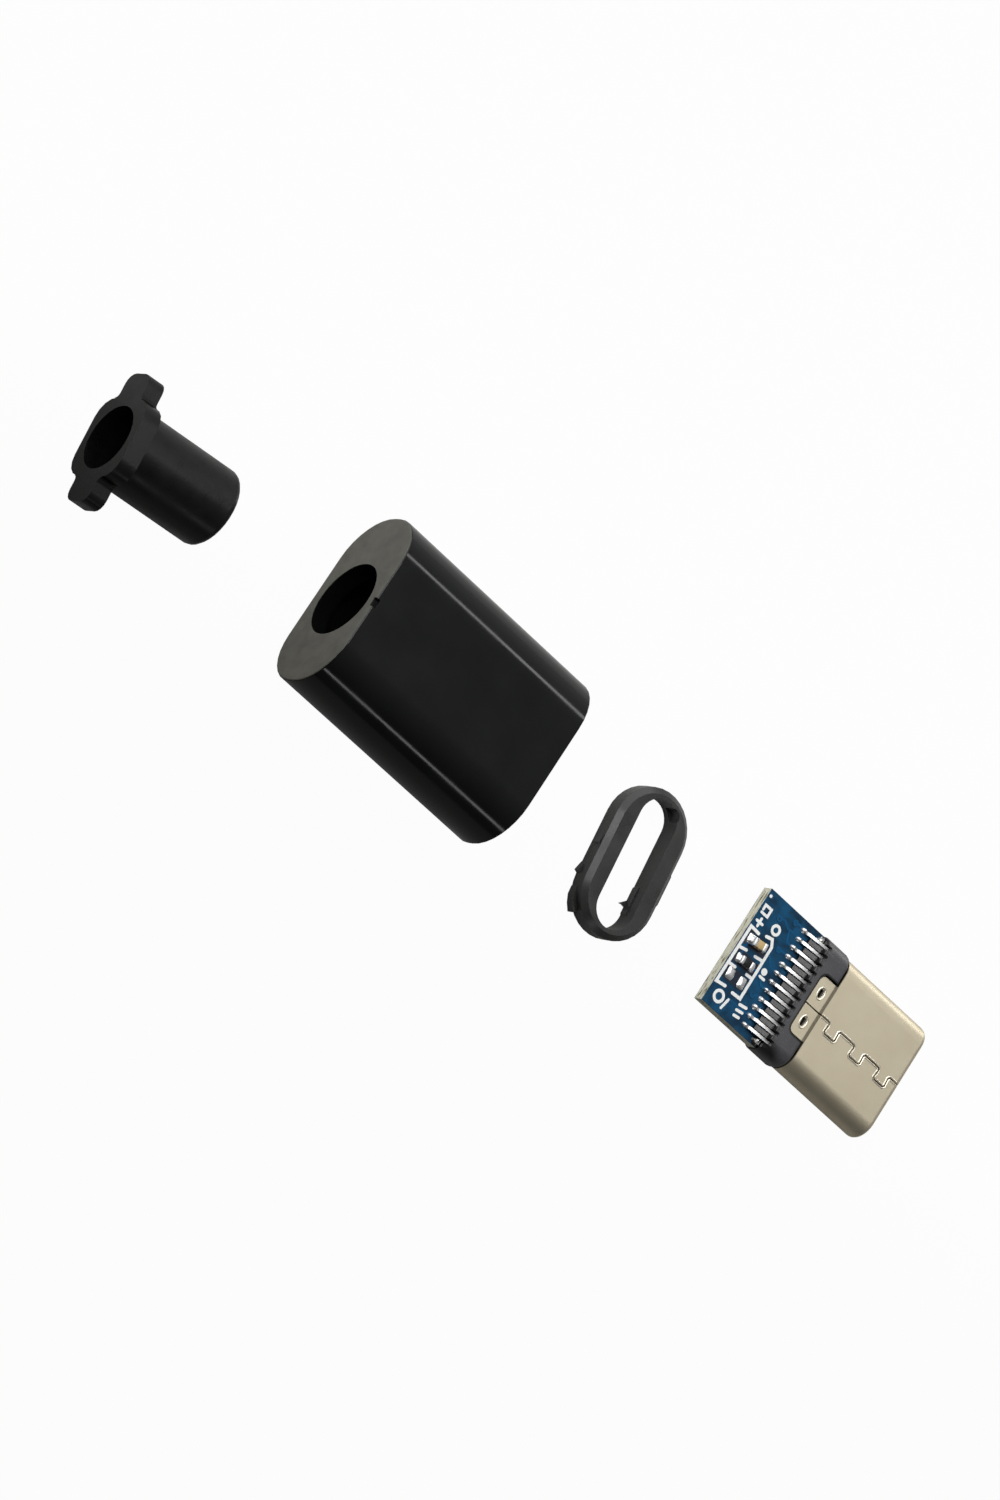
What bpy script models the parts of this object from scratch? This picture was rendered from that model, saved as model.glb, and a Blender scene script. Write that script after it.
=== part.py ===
"""A reversible 24-contact plug of the kind that is soldered to a cable by hand, taken apart.

Its pieces lie in a line on a table: the strain relief, the housing, the retaining ring, and the
connector with its circuit board. Each one is modelled in its own frame and then laid down where
it rests. The plug's axis runs along X, with the mouth at +X.

Put together, the sleeve of the strain relief leaves the housing through its rear hole and its
flange stays inside, the connector goes in through the housing's mouth, and the ring slips over
the metal shell on to the block and snaps into that mouth.
"""

import math

import bmesh
import bpy
from mathutils import Vector

MM = 0.001

# Clearances between pieces that fit together
SLIDE_FIT = 0.05 * MM
INSERT_FIT = 0.02 * MM

# Metal shell, rolled from one sheet and closed by a dovetail seam
SHELL_WIDTH = 8.25 * MM
SHELL_HEIGHT = 2.40 * MM
SHELL_WALL = 0.25 * MM
SHELL_LENGTH = 7.70 * MM
LIP_RADIUS = 0.40 * MM
LIP_TURN = math.radians(70)
SEAM_WIDTH = 0.08 * MM
TAB_SPLIT = 0.09 * MM
SEAM_REACH = 0.75 * MM
SEAM_TOOTH = 0.90 * MM
SEAM_START = 0.92 * MM
SEAM_END = 1.04 * MM
SEAM_FLARE = 0.07 * MM
SEAM_CORNER = 0.12 * MM
SEAM_TEETH = 3
TAB_SIDE = 0.88 * MM
TAB_LENGTH = 1.35 * MM
TAB_DROP = 0.10 * MM
TAB_CORNER = 0.35 * MM
TAB_RAMP = 0.10 * MM
TAB_GAP = 0.10 * MM
DIMPLE_LENGTH = 0.98 * MM
DIMPLE_WIDTH = 0.58 * MM
DIMPLE_DEPTH = 0.13 * MM
DIMPLE_FLOOR = 0.55
SLOT_LENGTH = 0.50 * MM
SLOT_WIDTH = 0.16 * MM

# Block behind the shell, moulded round the contacts
BLOCK_SIDE_STEP = 0.09 * MM
BLOCK_TOP_STEP = 0.07 * MM
BLOCK_LENGTH = 2.17 * MM
BLOCK_CORNER = 1.05 * MM
BLOCK_FRONT_ROUND = 0.32 * MM
BLOCK_REAR_ROUND = 0.08 * MM
SPIGOT_LENGTH = 1.50 * MM
COMB_LENGTH = 1.00 * MM
COMB_END_HEIGHT = 0.20 * MM
COMB_ROOT_HEIGHT = 0.44 * MM
NOTCH_DEPTH = 0.34 * MM
NOTCH_WIDTH = 0.34 * MM

# Insulator in the mouth, with the slot for the socket's tongue
MOUTH_SIDE_WALL = 0.51 * MM
MOUTH_OPENING_HEIGHT = 1.60 * MM
TONGUE_GAP = 0.90 * MM
MOUTH_DEPTH = 1.50 * MM
GROOVE_WIDTH = 0.32 * MM
GROOVE_DEPTH = 0.21 * MM

# Contacts: 12 above and 12 below
CONTACTS_PER_ROW = 12
CONTACT_WIDTH = 0.22 * MM
CONTACT_THICKNESS = 0.12 * MM
FRONT_ROW_SIDE = 0.595 * MM
TAIL_ROW_SIDE = 0.7225 * MM
FOOT_LENGTH = 0.42 * MM
TAIL_RISE = 0.10 * MM
TAIL_SLOPE = 0.24 * MM
TAIL_LENGTH = 1.20 * MM
CONTACT_LEVEL = 0.50 * MM
BUMP_REACH = 0.14 * MM
BUMP_LENGTH = 1.30 * MM
CONTACT_SETBACK = 0.22 * MM

# Latch: one plate with two side arms, which hold the socket's tongue, and two legs
LATCH_THICKNESS = 0.16 * MM
LATCH_WEB_LENGTH = 0.70 * MM
LATCH_ARM_WIDTH = 0.30 * MM
LATCH_ARM_INSET = 0.105 * MM
LATCH_HOOK_REACH = 0.30 * MM
LATCH_HOOK_LENGTH = 0.70 * MM
LATCH_LEG_GAP = 0.25 * MM
LATCH_LEG_WIDTH = 0.30 * MM
LATCH_FOOT_LENGTH = 0.40 * MM

# Ground springs above and below the insulator
SPRING_THICKNESS = 0.10 * MM
SPRING_REAR_GAP = 0.58 * MM
SPRING_FINGERS = 4
SPRING_FINGER_WIDTH = 0.80 * MM
SPRING_SIDE = 0.425 * MM
SPRING_REACH = 0.20 * MM
SPRING_SETBACK = 3.20 * MM
SPRING_TIP_SETBACK = 0.95 * MM

# Circuit board and its two chips
BOARD_SIDE_STEP = 0.09 * MM
BOARD_LENGTH = 5.15 * MM
BOARD_THICKNESS = 0.80 * MM
BOARD_TONGUE_SIDE = 0.815 * MM
BOARD_TONGUE_LENGTH = 0.60 * MM
CHIP_LENGTH = 1.00 * MM
CHIP_WIDTH = 0.50 * MM
CAPACITOR_HEIGHT = 0.50 * MM
RESISTOR_HEIGHT = 0.35 * MM
CHIP_ROUND = 0.03 * MM
CHIP_SETBACK = 3.97 * MM
CAPACITOR_SIDE = 0.80 * MM
CAPACITOR_TURN = math.radians(7)
RESISTOR_SIDE = -0.58 * MM
RESISTOR_TURN = math.radians(4)

# Retaining ring, with catches that snap into the housing's mouth
RING_SIDE_PLAY = 0.075 * MM
RING_TOP_PLAY = 0.145 * MM
RING_SIDE_WALL = 0.61 * MM
RING_TOP_WALL = 1.335 * MM
RING_HEIGHT = 1.38 * MM
RING_CHAMFER = 0.36 * MM
RING_CHAMFER_DROP = 0.30 * MM
RING_EDGE = 0.05 * MM
CATCH_ROOT = 0.15 * MM
CATCH_STEP = 0.10 * MM
MIDDLE_CATCH_SPAN = (0.75 * MM, -0.05 * MM)
MIDDLE_CATCH_REACH = 0.12 * MM
MIDDLE_CATCH_HEIGHTS = (0.38 * MM, 0.92 * MM)
SIDE_CATCH_SPAN = (-1.39 * MM, -2.04 * MM)
SIDE_CATCH_REACH = 0.20 * MM
SIDE_CATCH_HEIGHTS = (0.0, 0.40 * MM)
END_CATCH_TURN = (math.radians(197), math.radians(228))
END_CATCH_REACH = 0.33 * MM
END_CATCH_HEIGHTS = (0.0, 0.60 * MM)
RIB_SPAN = (0.80 * MM, -1.50 * MM)
RIB_REACH = 0.09 * MM
RIB_HEIGHTS = (0.62 * MM, 1.02 * MM)
RELIEF_CUT_RADIUS = 0.50 * MM
RELIEF_CUT_DEPTH = 0.22 * MM
RELIEF_CUT_FLOOR = 0.45 * MM

# Housing
HOUSING_SIDE_WALL = 0.90 * MM
HOUSING_TOP_WALL = 0.475 * MM
HOUSING_LENGTH = 15.95 * MM
HOUSING_CORNER = 3.05 * MM
HOUSING_END_ROUND = 0.12 * MM
HOUSING_MOUTH_EDGE = 0.08 * MM
HOUSING_END_WALL = 1.20 * MM
NICK_WIDTH = 0.60 * MM
NICK_DEPTH = 0.30 * MM

# Strain relief: a sleeve with an eared flange
SLEEVE_DIAMETER = 4.95 * MM
SLEEVE_BORE = 4.10 * MM
SLEEVE_LENGTH = 7.00 * MM
SLEEVE_END_ROUND = 0.45 * MM
FLANGE_THICKNESS = 1.15 * MM
FLANGE_SIDE_STEP = 0.05 * MM
FLANGE_TOP_STEP = 0.125 * MM
FLANGE_CORNER = 1.30 * MM
EAR_PLAY = 0.80 * MM
EAR_HEIGHT = 2.40 * MM
EAR_CORNER = 0.70 * MM
EAR_FILLET = 0.35 * MM

# Where the pieces lie
SLEEVE_TO_HOUSING = 9.69 * MM
HOUSING_TO_RING = 8.41 * MM
RING_TO_BOARD = 5.76 * MM
SLEEVE_ASIDE = -3.26 * MM
HOUSING_ASIDE = -1.27 * MM
RING_ASIDE = -0.49 * MM
SLEEVE_TURN = math.radians(7.4)
RING_TURN = math.radians(7.6)
UNIT_MARK = 5.0 * MM

# Fineness of round surfaces
ARC_STEPS = 8
ROUND_STEPS = 40
EDGE_STEPS = 3

# Places and sizes that follow, in the connector's own frame: the block's rear face is at x = 0
# and the middle plane of the shell at z = 0
MOUTH_X = BLOCK_LENGTH + SHELL_LENGTH
SEAM_PERIOD = (SHELL_LENGTH - SEAM_START - SEAM_END - SEAM_TOOTH) / (SEAM_TEETH - 1)
TAB_WIDTH = (SHELL_WIDTH - SHELL_HEIGHT - TAB_SPLIT) / 2 - TAB_SIDE
TAB_REAR_X = BLOCK_LENGTH - TAB_LENGTH
TAB_TOP_Z = SHELL_HEIGHT / 2 - TAB_DROP
BLOCK_WIDTH = SHELL_WIDTH + 2 * BLOCK_SIDE_STEP
BLOCK_HEIGHT = SHELL_HEIGHT + 2 * BLOCK_TOP_STEP
SPIGOT_FRONT_X = BLOCK_LENGTH + SPIGOT_LENGTH
INSULATOR_REAR_X = SPIGOT_FRONT_X + INSERT_FIT
INSULATOR_FRONT_X = MOUTH_X - LIP_RADIUS * math.sin(LIP_TURN) - INSERT_FIT
INSULATOR_HEIGHT = SHELL_HEIGHT - 2 * SHELL_WALL - 2 * INSERT_FIT
INSULATOR_WIDTH = SHELL_WIDTH - 2 * SHELL_WALL - 2 * INSERT_FIT
SLOT_OPENING_WIDTH = INSULATOR_WIDTH - 2 * MOUTH_SIDE_WALL
MOUTH_STEP_X = INSULATOR_FRONT_X - MOUTH_DEPTH
FRONT_PITCH = (SLOT_OPENING_WIDTH - 2 * FRONT_ROW_SIDE) / (CONTACTS_PER_ROW - 1)
TAIL_PITCH = (BLOCK_WIDTH - 2 * TAIL_ROW_SIDE) / (CONTACTS_PER_ROW - 1)
CONTACT_TIP_X = MOUTH_STEP_X - CONTACT_SETBACK
GROOVE_FRONT_X = (CONTACT_TIP_X + MOUTH_STEP_X) / 2
FOOT_Z = BOARD_THICKNESS / 2 + INSERT_FIT + CONTACT_THICKNESS / 2
TAIL_Z = FOOT_Z + TAIL_RISE
BOARD_WIDTH = BLOCK_WIDTH - 2 * BOARD_SIDE_STEP
BOARD_TONGUE_WIDTH = BLOCK_WIDTH - 2 * BOARD_TONGUE_SIDE
LATCH_WEB_REAR_X = BOARD_TONGUE_LENGTH + 4 * SLIDE_FIT
LATCH_WEB_FRONT_X = LATCH_WEB_REAR_X + LATCH_WEB_LENGTH
LATCH_TIP_X = CONTACT_TIP_X
LATCH_ARM_CENTRE = SLOT_OPENING_WIDTH / 2 + LATCH_ARM_INSET
LATCH_LEG_CENTRE = BOARD_TONGUE_WIDTH / 2 + LATCH_LEG_GAP + LATCH_LEG_WIDTH / 2
LATCH_FOOT_Z = BOARD_THICKNESS / 2 + INSERT_FIT + LATCH_THICKNESS / 2
SPRING_Z = SHELL_HEIGHT / 2 - SHELL_WALL - 2 * INSERT_FIT - SPRING_THICKNESS / 2
SPRING_FLOOR_Z = SPRING_Z - SPRING_THICKNESS / 2 - INSERT_FIT
SPRING_REAR_X = INSULATOR_REAR_X + SPRING_REAR_GAP
SPRING_ROOT_X = INSULATOR_FRONT_X - SPRING_SETBACK
SPRING_TIP_X = INSULATOR_FRONT_X - SPRING_TIP_SETBACK
SPRING_FLAT = INSULATOR_WIDTH - INSULATOR_HEIGHT - 2 * SPRING_SIDE
SPRING_FINGER_PITCH = (SPRING_FLAT - SPRING_FINGER_WIDTH) / (SPRING_FINGERS - 1)

# The ring goes round the block, the housing round the ring and the sleeve's flange
RING_OPENING_WIDTH = BLOCK_WIDTH + 2 * RING_SIDE_PLAY
RING_OPENING_HEIGHT = BLOCK_HEIGHT + 2 * RING_TOP_PLAY
RING_WIDTH = RING_OPENING_WIDTH + 2 * RING_SIDE_WALL
RING_THICKNESS = RING_OPENING_HEIGHT + 2 * RING_TOP_WALL
FLANGE_WIDTH = SLEEVE_DIAMETER + 2 * FLANGE_SIDE_STEP
FLANGE_HEIGHT = SLEEVE_DIAMETER + 2 * FLANGE_TOP_STEP
CAVITY_WIDTH = RING_WIDTH + 2 * SLIDE_FIT
CAVITY_HEIGHT = max(RING_THICKNESS, FLANGE_HEIGHT) + 2 * SLIDE_FIT
EAR_SPAN = CAVITY_WIDTH - 2 * EAR_PLAY
HOUSING_WIDTH = CAVITY_WIDTH + 2 * HOUSING_SIDE_WALL
HOUSING_HEIGHT = CAVITY_HEIGHT + 2 * HOUSING_TOP_WALL


def start_scene():
    """Empty the scene and make the two collections."""
    for thing in list(bpy.data.objects):
        bpy.data.objects.remove(thing, do_unlink=True)
    groups = []
    for name in ("plug", "cutters"):
        group = bpy.data.collections.new(name)
        bpy.context.scene.collection.children.link(group)
        groups.append(group)
    return groups


PLUG, CUTTERS = start_scene()


def finish(name, colour, roughness, metallic=0.0):
    """A plain material for one kind of piece."""
    material = bpy.data.materials.new(name)
    material.use_nodes = True
    shader = material.node_tree.nodes["Principled BSDF"]
    shader.inputs["Base Color"].default_value = (*colour, 1.0)
    shader.inputs["Roughness"].default_value = roughness
    shader.inputs["Metallic"].default_value = metallic
    return material


HOUSING_PLASTIC = finish("housing_plastic", (0.012, 0.013, 0.013), 0.38)
RING_PLASTIC = finish("ring_plastic", (0.050, 0.050, 0.052), 0.45)
RELIEF_PLASTIC = finish("relief_plastic", (0.018, 0.019, 0.018), 0.50)
BLOCK_PLASTIC = finish("block_plastic", (0.075, 0.075, 0.080), 0.45)
NICKEL = finish("nickel_plate", (0.60, 0.57, 0.50), 0.28, 1.0)
GOLD = finish("gold_plate", (0.80, 0.58, 0.25), 0.25, 1.0)
SPRING_STEEL = finish("spring_steel", (0.55, 0.55, 0.54), 0.30, 1.0)
BOARD_BLUE = finish("blue_board", (0.010, 0.070, 0.240), 0.35)
CERAMIC_TAN = finish("tan_ceramic", (0.48, 0.36, 0.20), 0.50)
RESISTOR_BLACK = finish("black_resistor", (0.015, 0.015, 0.015), 0.40)


def place(name):
    """An empty that carries the pieces of one unit where it lies."""
    empty = bpy.data.objects.new(name, None)
    empty.empty_display_size = UNIT_MARK
    PLUG.objects.link(empty)
    return empty


def add_piece(name, mesh_data, material, unit):
    """A piece of the plug, in its unit's frame."""
    mesh = bpy.data.meshes.new(name)
    mesh_data.to_mesh(mesh)
    mesh_data.free()
    piece = bpy.data.objects.new(name, mesh)
    piece.data.materials.append(material)
    piece.parent = unit
    PLUG.objects.link(piece)
    return piece


def add_tool(name, mesh_data, unit):
    """A shape that only cuts or joins."""
    mesh = bpy.data.meshes.new(name)
    mesh_data.to_mesh(mesh)
    mesh_data.free()
    tool = bpy.data.objects.new(name, mesh)
    tool.parent = unit
    tool.hide_render = True
    tool.display_type = "WIRE"
    CUTTERS.objects.link(tool)
    return tool


def combine(piece, tool, operation):
    modifier = piece.modifiers.new(tool.name, "BOOLEAN")
    modifier.operation = operation
    modifier.object = tool


def cut(piece, tool):
    combine(piece, tool, "DIFFERENCE")


def join(piece, tool):
    combine(piece, tool, "UNION")


def thicken(piece, thickness, offset=0.0):
    """Turn a sheet's middle surface into the sheet."""
    modifier = piece.modifiers.new("sheet", "SOLIDIFY")
    modifier.thickness = thickness
    modifier.offset = offset
    modifier.use_even_offset = True


def rounded_outline(width, height, radius, inset=0.0, steps=ARC_STEPS):
    """Points (y, z) round a rectangle with round corners, moved inwards by the inset."""
    half_width = width / 2 - inset
    half_height = height / 2 - inset
    radius = min(radius - inset, half_height, half_width)
    points = []
    for side, level, start in ((1, 1, 0), (-1, 1, 90), (-1, -1, 180), (1, -1, 270)):
        centre = Vector((side * (half_width - radius), level * (half_height - radius)))
        for step in range(steps + 1):
            angle = math.radians(start + 90 * step / steps)
            point = centre + radius * Vector((math.cos(angle), math.sin(angle)))
            if not points or (point - points[-1]).length > 0.001 * MM:
                points.append(point)
    if (points[0] - points[-1]).length <= 0.001 * MM:
        points.pop()
    return points


def loft(sections):
    """A closed body through a row of outlines, each given as (x, points)."""
    body = bmesh.new()
    rings = [[body.verts.new((x, y, z)) for y, z in points] for x, points in sections]
    for near, far in zip(rings, rings[1:]):
        for i in range(len(near)):
            body.faces.new((near[i - 1], near[i], far[i], far[i - 1]))
    body.faces.new(rings[0])
    body.faces.new(rings[-1])
    bmesh.ops.recalc_face_normals(body, faces=body.faces)
    return body


def rounded_bar(width, height, radius, rear, front, rear_round=0.0, front_round=0.0):
    """A bar along X whose two end edges may be rounded."""
    sections = []
    if rear_round:
        for step in range(EDGE_STEPS):
            angle = math.radians(90 * step / EDGE_STEPS)
            inset = rear_round * (1 - math.sin(angle))
            x = rear + rear_round * (1 - math.cos(angle))
            sections.append((x, rounded_outline(width, height, radius, inset)))
    sections.append((rear + rear_round, rounded_outline(width, height, radius)))
    sections.append((front - front_round, rounded_outline(width, height, radius)))
    if front_round:
        for step in range(1, EDGE_STEPS + 1):
            angle = math.radians(90 * step / EDGE_STEPS)
            inset = front_round * (1 - math.cos(angle))
            x = front - front_round * (1 - math.sin(angle))
            sections.append((x, rounded_outline(width, height, radius, inset)))
    return loft(sections)


def prism(points, axis, start, end, body=None):
    """An outline pushed along X, Y or Z; its points give the other two coordinates in order."""
    body = body or bmesh.new()
    corners = []
    for first, second in points:
        place_of = [first, second]
        place_of.insert("XYZ".index(axis), start)
        corners.append(body.verts.new(place_of))
    face = body.faces.new(corners)
    moved = bmesh.ops.extrude_face_region(body, geom=[face])["geom"]
    step = Vector([end - start if name == axis else 0.0 for name in "XYZ"])
    bmesh.ops.translate(body, vec=step, verts=[v for v in moved if isinstance(v, bmesh.types.BMVert)])
    bmesh.ops.recalc_face_normals(body, faces=body.faces)
    return body


def boxes(ranges):
    """Separate boxes in one mesh, each from its lowest to its highest corner."""
    body = bmesh.new()
    for low, high in ranges:
        low, high = Vector(low), Vector(high)
        cube = bmesh.ops.create_cube(body, size=1.0)["verts"]
        bmesh.ops.scale(body, vec=high - low, verts=cube)
        bmesh.ops.translate(body, vec=(low + high) / 2, verts=cube)
    return body


def both_ways(ranges, axis):
    """Boxes together with their mirror images across the plane where this axis is zero."""
    result = []
    for low, high in ranges:
        result.append((low, high))
        other_low, other_high = list(low), list(high)
        other_low[axis], other_high[axis] = -high[axis], -low[axis]
        result.append((other_low, other_high))
    return result


def cylinder(radius, centre, axis, length, steps=ROUND_STEPS):
    """A round bar along X or Y about its centre."""
    body = bmesh.new()
    bmesh.ops.create_cone(
        body, cap_ends=True, segments=steps, radius1=radius, radius2=radius, depth=length
    )
    turn = {"X": Vector((1, 0, 0)), "Y": Vector((0, 1, 0))}[axis]
    matrix = Vector((0, 0, 1)).rotation_difference(turn).to_matrix()
    bmesh.ops.rotate(body, cent=(0, 0, 0), matrix=matrix, verts=body.verts)
    bmesh.ops.translate(body, vec=centre, verts=body.verts)
    return body


def add_strip(body, rows):
    """A strip of sheet, flat across, through rows of (x, lowest y, highest y, z)."""
    pairs = [(body.verts.new((x, low, z)), body.verts.new((x, high, z))) for x, low, high, z in rows]
    for (a, b), (c, d) in zip(pairs, pairs[1:]):
        body.faces.new((a, c, d, b))
    return pairs


def shell_section(inset):
    """The shell's outline with points where its two tabs begin."""
    radius = SHELL_HEIGHT / 2 - inset
    flat = SHELL_WIDTH / 2 - SHELL_HEIGHT / 2
    marks = [TAB_WIDTH + TAB_SPLIT / 2, TAB_SPLIT / 2]
    marks = marks + [-mark for mark in reversed(marks)]
    points = []
    for side, start in ((1, -90), (-1, 90)):
        for step in range(2 * ARC_STEPS + 1):
            angle = math.radians(start + 90 * step / ARC_STEPS)
            points.append((side * flat + radius * math.cos(angle), radius * math.sin(angle)))
        points.extend((side * mark, side * radius) for mark in marks)
    return points


def seam_line():
    """The seam's centre line (x, y), from between the tabs to the lip."""
    rear = TAB_REAR_X - 2 * TAB_DROP
    front = MOUTH_X + LIP_RADIUS
    points = [(rear, 0.0)]
    for tooth in range(SEAM_TEETH):
        start = BLOCK_LENGTH + SEAM_START + tooth * SEAM_PERIOD
        end = start + SEAM_TOOTH
        corners = [
            (start, 0.0),
            (start - SEAM_FLARE, -SEAM_REACH),
            (end + SEAM_FLARE, -SEAM_REACH),
            (end, 0.0),
        ]
        around = [points[-1], *corners, (end + SEAM_TOOTH, 0.0)]
        for before, corner, after in zip(around, corners, around[2:]):
            corner = Vector(corner)
            for neighbour in (before, after):
                points.append(tuple(corner + SEAM_CORNER * (Vector(neighbour) - corner).normalized()))
    points.append((front, 0.0))
    return points


def seam_ribbon():
    """The seam's line widened to its gap, as one outline round it."""
    line = [Vector(point) for point in seam_line()]
    left, right = [], []
    for i, point in enumerate(line):
        before = (point - line[i - 1]).normalized() if i else None
        after = (line[i + 1] - point).normalized() if i + 1 < len(line) else None
        before, after = before or after, after or before
        normal = (Vector((-before.y, before.x)) + Vector((-after.y, after.x))).normalized()
        stretch = 1 / max(normal.dot(Vector((-before.y, before.x))), 0.3)
        left.append(point + normal * SEAM_WIDTH / 2 * stretch)
        right.append(point - normal * SEAM_WIDTH / 2 * stretch)
    return left + right[::-1]


def add_tab(body, root, level):
    """One rear tab, from two root points (inner, outer) of the shell's rear edge."""
    inner, outer = root
    side = 1 if outer.co.y > inner.co.y else -1
    rows = [(BLOCK_LENGTH - TAB_RAMP, 0.0)]
    for step in range(EDGE_STEPS + 1):
        angle = math.radians(90 * step / EDGE_STEPS)
        x = TAB_REAR_X + TAB_CORNER * (1 - math.sin(angle))
        rows.append((x, TAB_CORNER * (1 - math.cos(angle))))
    low = level * TAB_TOP_Z
    for x, inset in rows:
        next_inner = body.verts.new((x, inner.co.y, low))
        next_outer = body.verts.new((x, outer.co.y - side * inset if inset else outer.co.y, low))
        body.faces.new((inner, outer, next_outer, next_inner))
        inner, outer = next_inner, next_outer


def metal_shell(unit):
    """Rolled sheet with a turned-in lip, two tabs above and below, and the seam."""
    body = bmesh.new()
    sections = [(BLOCK_LENGTH, 0.0), (MOUTH_X - LIP_RADIUS * math.sin(LIP_TURN), 0.0)]
    for step in range(1, EDGE_STEPS + 1):
        angle = LIP_TURN * step / EDGE_STEPS
        x = MOUTH_X - LIP_RADIUS * (math.sin(LIP_TURN) - math.sin(angle))
        sections.append((x, LIP_RADIUS * (1 - math.cos(angle))))
    rings = [[body.verts.new((x, y, z)) for y, z in shell_section(inset)] for x, inset in sections]
    for near, far in zip(rings, rings[1:]):
        for i in range(len(near)):
            body.faces.new((near[i - 1], near[i], far[i], far[i - 1]))
    for level in (1, -1):
        edge = [v for v in rings[0] if v.co.z * level > SHELL_HEIGHT / 2 - 0.001 * MM]
        for side in (1, -1):
            ends = sorted((v for v in edge if v.co.y * side > 0), key=lambda v: abs(v.co.y))
            add_tab(body, (ends[0], ends[1]), level)
    bmesh.ops.recalc_face_normals(body, faces=body.faces)
    shell = add_piece("metal_shell", body, NICKEL, unit)
    thicken(shell, SHELL_WALL, -1.0)
    seam = prism(seam_ribbon(), "Z", SHELL_HEIGHT / 4, SHELL_HEIGHT)
    cut(shell, add_tool("seam_gap", seam, unit))
    cut(shell, add_tool("tab_dimples", tab_dimples(), unit))
    cut(shell, add_tool("tab_slots", tab_slots(), unit))
    return shell


def tab_centres():
    """The middle of each tab's dimple, as (x, y, direction up or down)."""
    x = TAB_REAR_X + (TAB_LENGTH - TAB_RAMP) / 2
    y = (TAB_WIDTH + TAB_SPLIT) / 2
    return [(x, side * y, level) for side in (1, -1) for level in (1, -1)]


def tab_dimples():
    """Oval dimples pressed into the tabs."""
    body = bmesh.new()
    for x, y, level in tab_centres():
        oval = bmesh.ops.create_cone(
            body,
            cap_ends=True,
            segments=2 * ARC_STEPS,
            radius1=DIMPLE_FLOOR / 2,
            radius2=0.5,
            depth=2 * DIMPLE_DEPTH,
        )["verts"]
        bmesh.ops.scale(body, vec=(DIMPLE_WIDTH, DIMPLE_LENGTH, level), verts=oval)
        bmesh.ops.translate(body, vec=(x, y, level * TAB_TOP_Z), verts=oval)
    bmesh.ops.recalc_face_normals(body, faces=body.faces)
    return body


def tab_slots():
    """Narrow slots through the dimples."""
    ranges = []
    for x, y, level in tab_centres():
        ends = sorted((level * (TAB_TOP_Z - 2 * SHELL_WALL), level * SHELL_HEIGHT))
        low = (x - SLOT_WIDTH / 2, y - SLOT_LENGTH / 2, ends[0])
        high = (x + SLOT_WIDTH / 2, y + SLOT_LENGTH / 2, ends[1])
        ranges.append((low, high))
    return boxes(ranges)


def contact_rows(number, level, width):
    """The rows of one contact, from its foot on the board to its tip."""
    place_in_row = number - (CONTACTS_PER_ROW - 1) / 2
    rear_y, front_y = place_in_row * TAIL_PITCH, place_in_row * FRONT_PITCH
    foot_front = -TAIL_LENGTH - TAIL_RISE
    bump_start = CONTACT_TIP_X - BUMP_LENGTH
    path = [
        (foot_front - FOOT_LENGTH, rear_y, FOOT_Z),
        (foot_front, rear_y, FOOT_Z),
        (-TAIL_LENGTH, rear_y, TAIL_Z),
        (NOTCH_DEPTH, rear_y, TAIL_Z + TAIL_SLOPE),
        (BLOCK_LENGTH, front_y, CONTACT_LEVEL),
        (bump_start, front_y, CONTACT_LEVEL),
        (bump_start + BUMP_LENGTH * 0.40, front_y, CONTACT_LEVEL - BUMP_REACH * 0.8),
        (bump_start + BUMP_LENGTH * 0.55, front_y, CONTACT_LEVEL - BUMP_REACH),
        (bump_start + BUMP_LENGTH * 0.70, front_y, CONTACT_LEVEL - BUMP_REACH * 0.8),
        (CONTACT_TIP_X, front_y, CONTACT_LEVEL),
    ]
    return [(x, y - width / 2, y + width / 2, level * z) for x, y, z in path]


def contacts(unit):
    """Formed strips, foot on the board, straight through the block, with a sprung bump."""
    for row, level in (("upper", 1), ("lower", -1)):
        for number in range(CONTACTS_PER_ROW):
            body = bmesh.new()
            add_strip(body, contact_rows(number, level, CONTACT_WIDTH))
            name = f"{row}_contact_{number + 1:02d}"
            thicken(add_piece(name, body, GOLD, unit), CONTACT_THICKNESS)


def contact_channels(unit):
    """Room for the contacts inside the block."""
    body = bmesh.new()
    for level in (1, -1):
        for number in range(CONTACTS_PER_ROW):
            rows = contact_rows(number, level, CONTACT_WIDTH + 2 * INSERT_FIT)
            rows = [(NOTCH_DEPTH / 2, *rows[3][1:]), *rows[3:6]]
            rows[-1] = (SPIGOT_FRONT_X + SPIGOT_LENGTH / 2, *rows[-1][1:])
            add_strip(body, rows)
    channels = add_tool("contact_channels", body, unit)
    thicken(channels, CONTACT_THICKNESS + 2 * INSERT_FIT)
    return channels


def board_outline(grow=0.0):
    """The board in plan, with the narrow tongue that goes into the block."""
    half, tongue = BOARD_WIDTH / 2 + grow, BOARD_TONGUE_WIDTH / 2 + grow
    shoulder = -INSERT_FIT + grow
    return [
        (-BOARD_LENGTH - grow, -half),
        (shoulder, -half),
        (shoulder, -tongue),
        (BOARD_TONGUE_LENGTH + grow, -tongue),
        (BOARD_TONGUE_LENGTH + grow, tongue),
        (shoulder, tongue),
        (shoulder, half),
        (-BOARD_LENGTH - grow, half),
    ]


def circuit_board(unit):
    half = BOARD_THICKNESS / 2
    return add_piece("circuit_board", prism(board_outline(), "Z", -half, half), BOARD_BLUE, unit)


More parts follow.
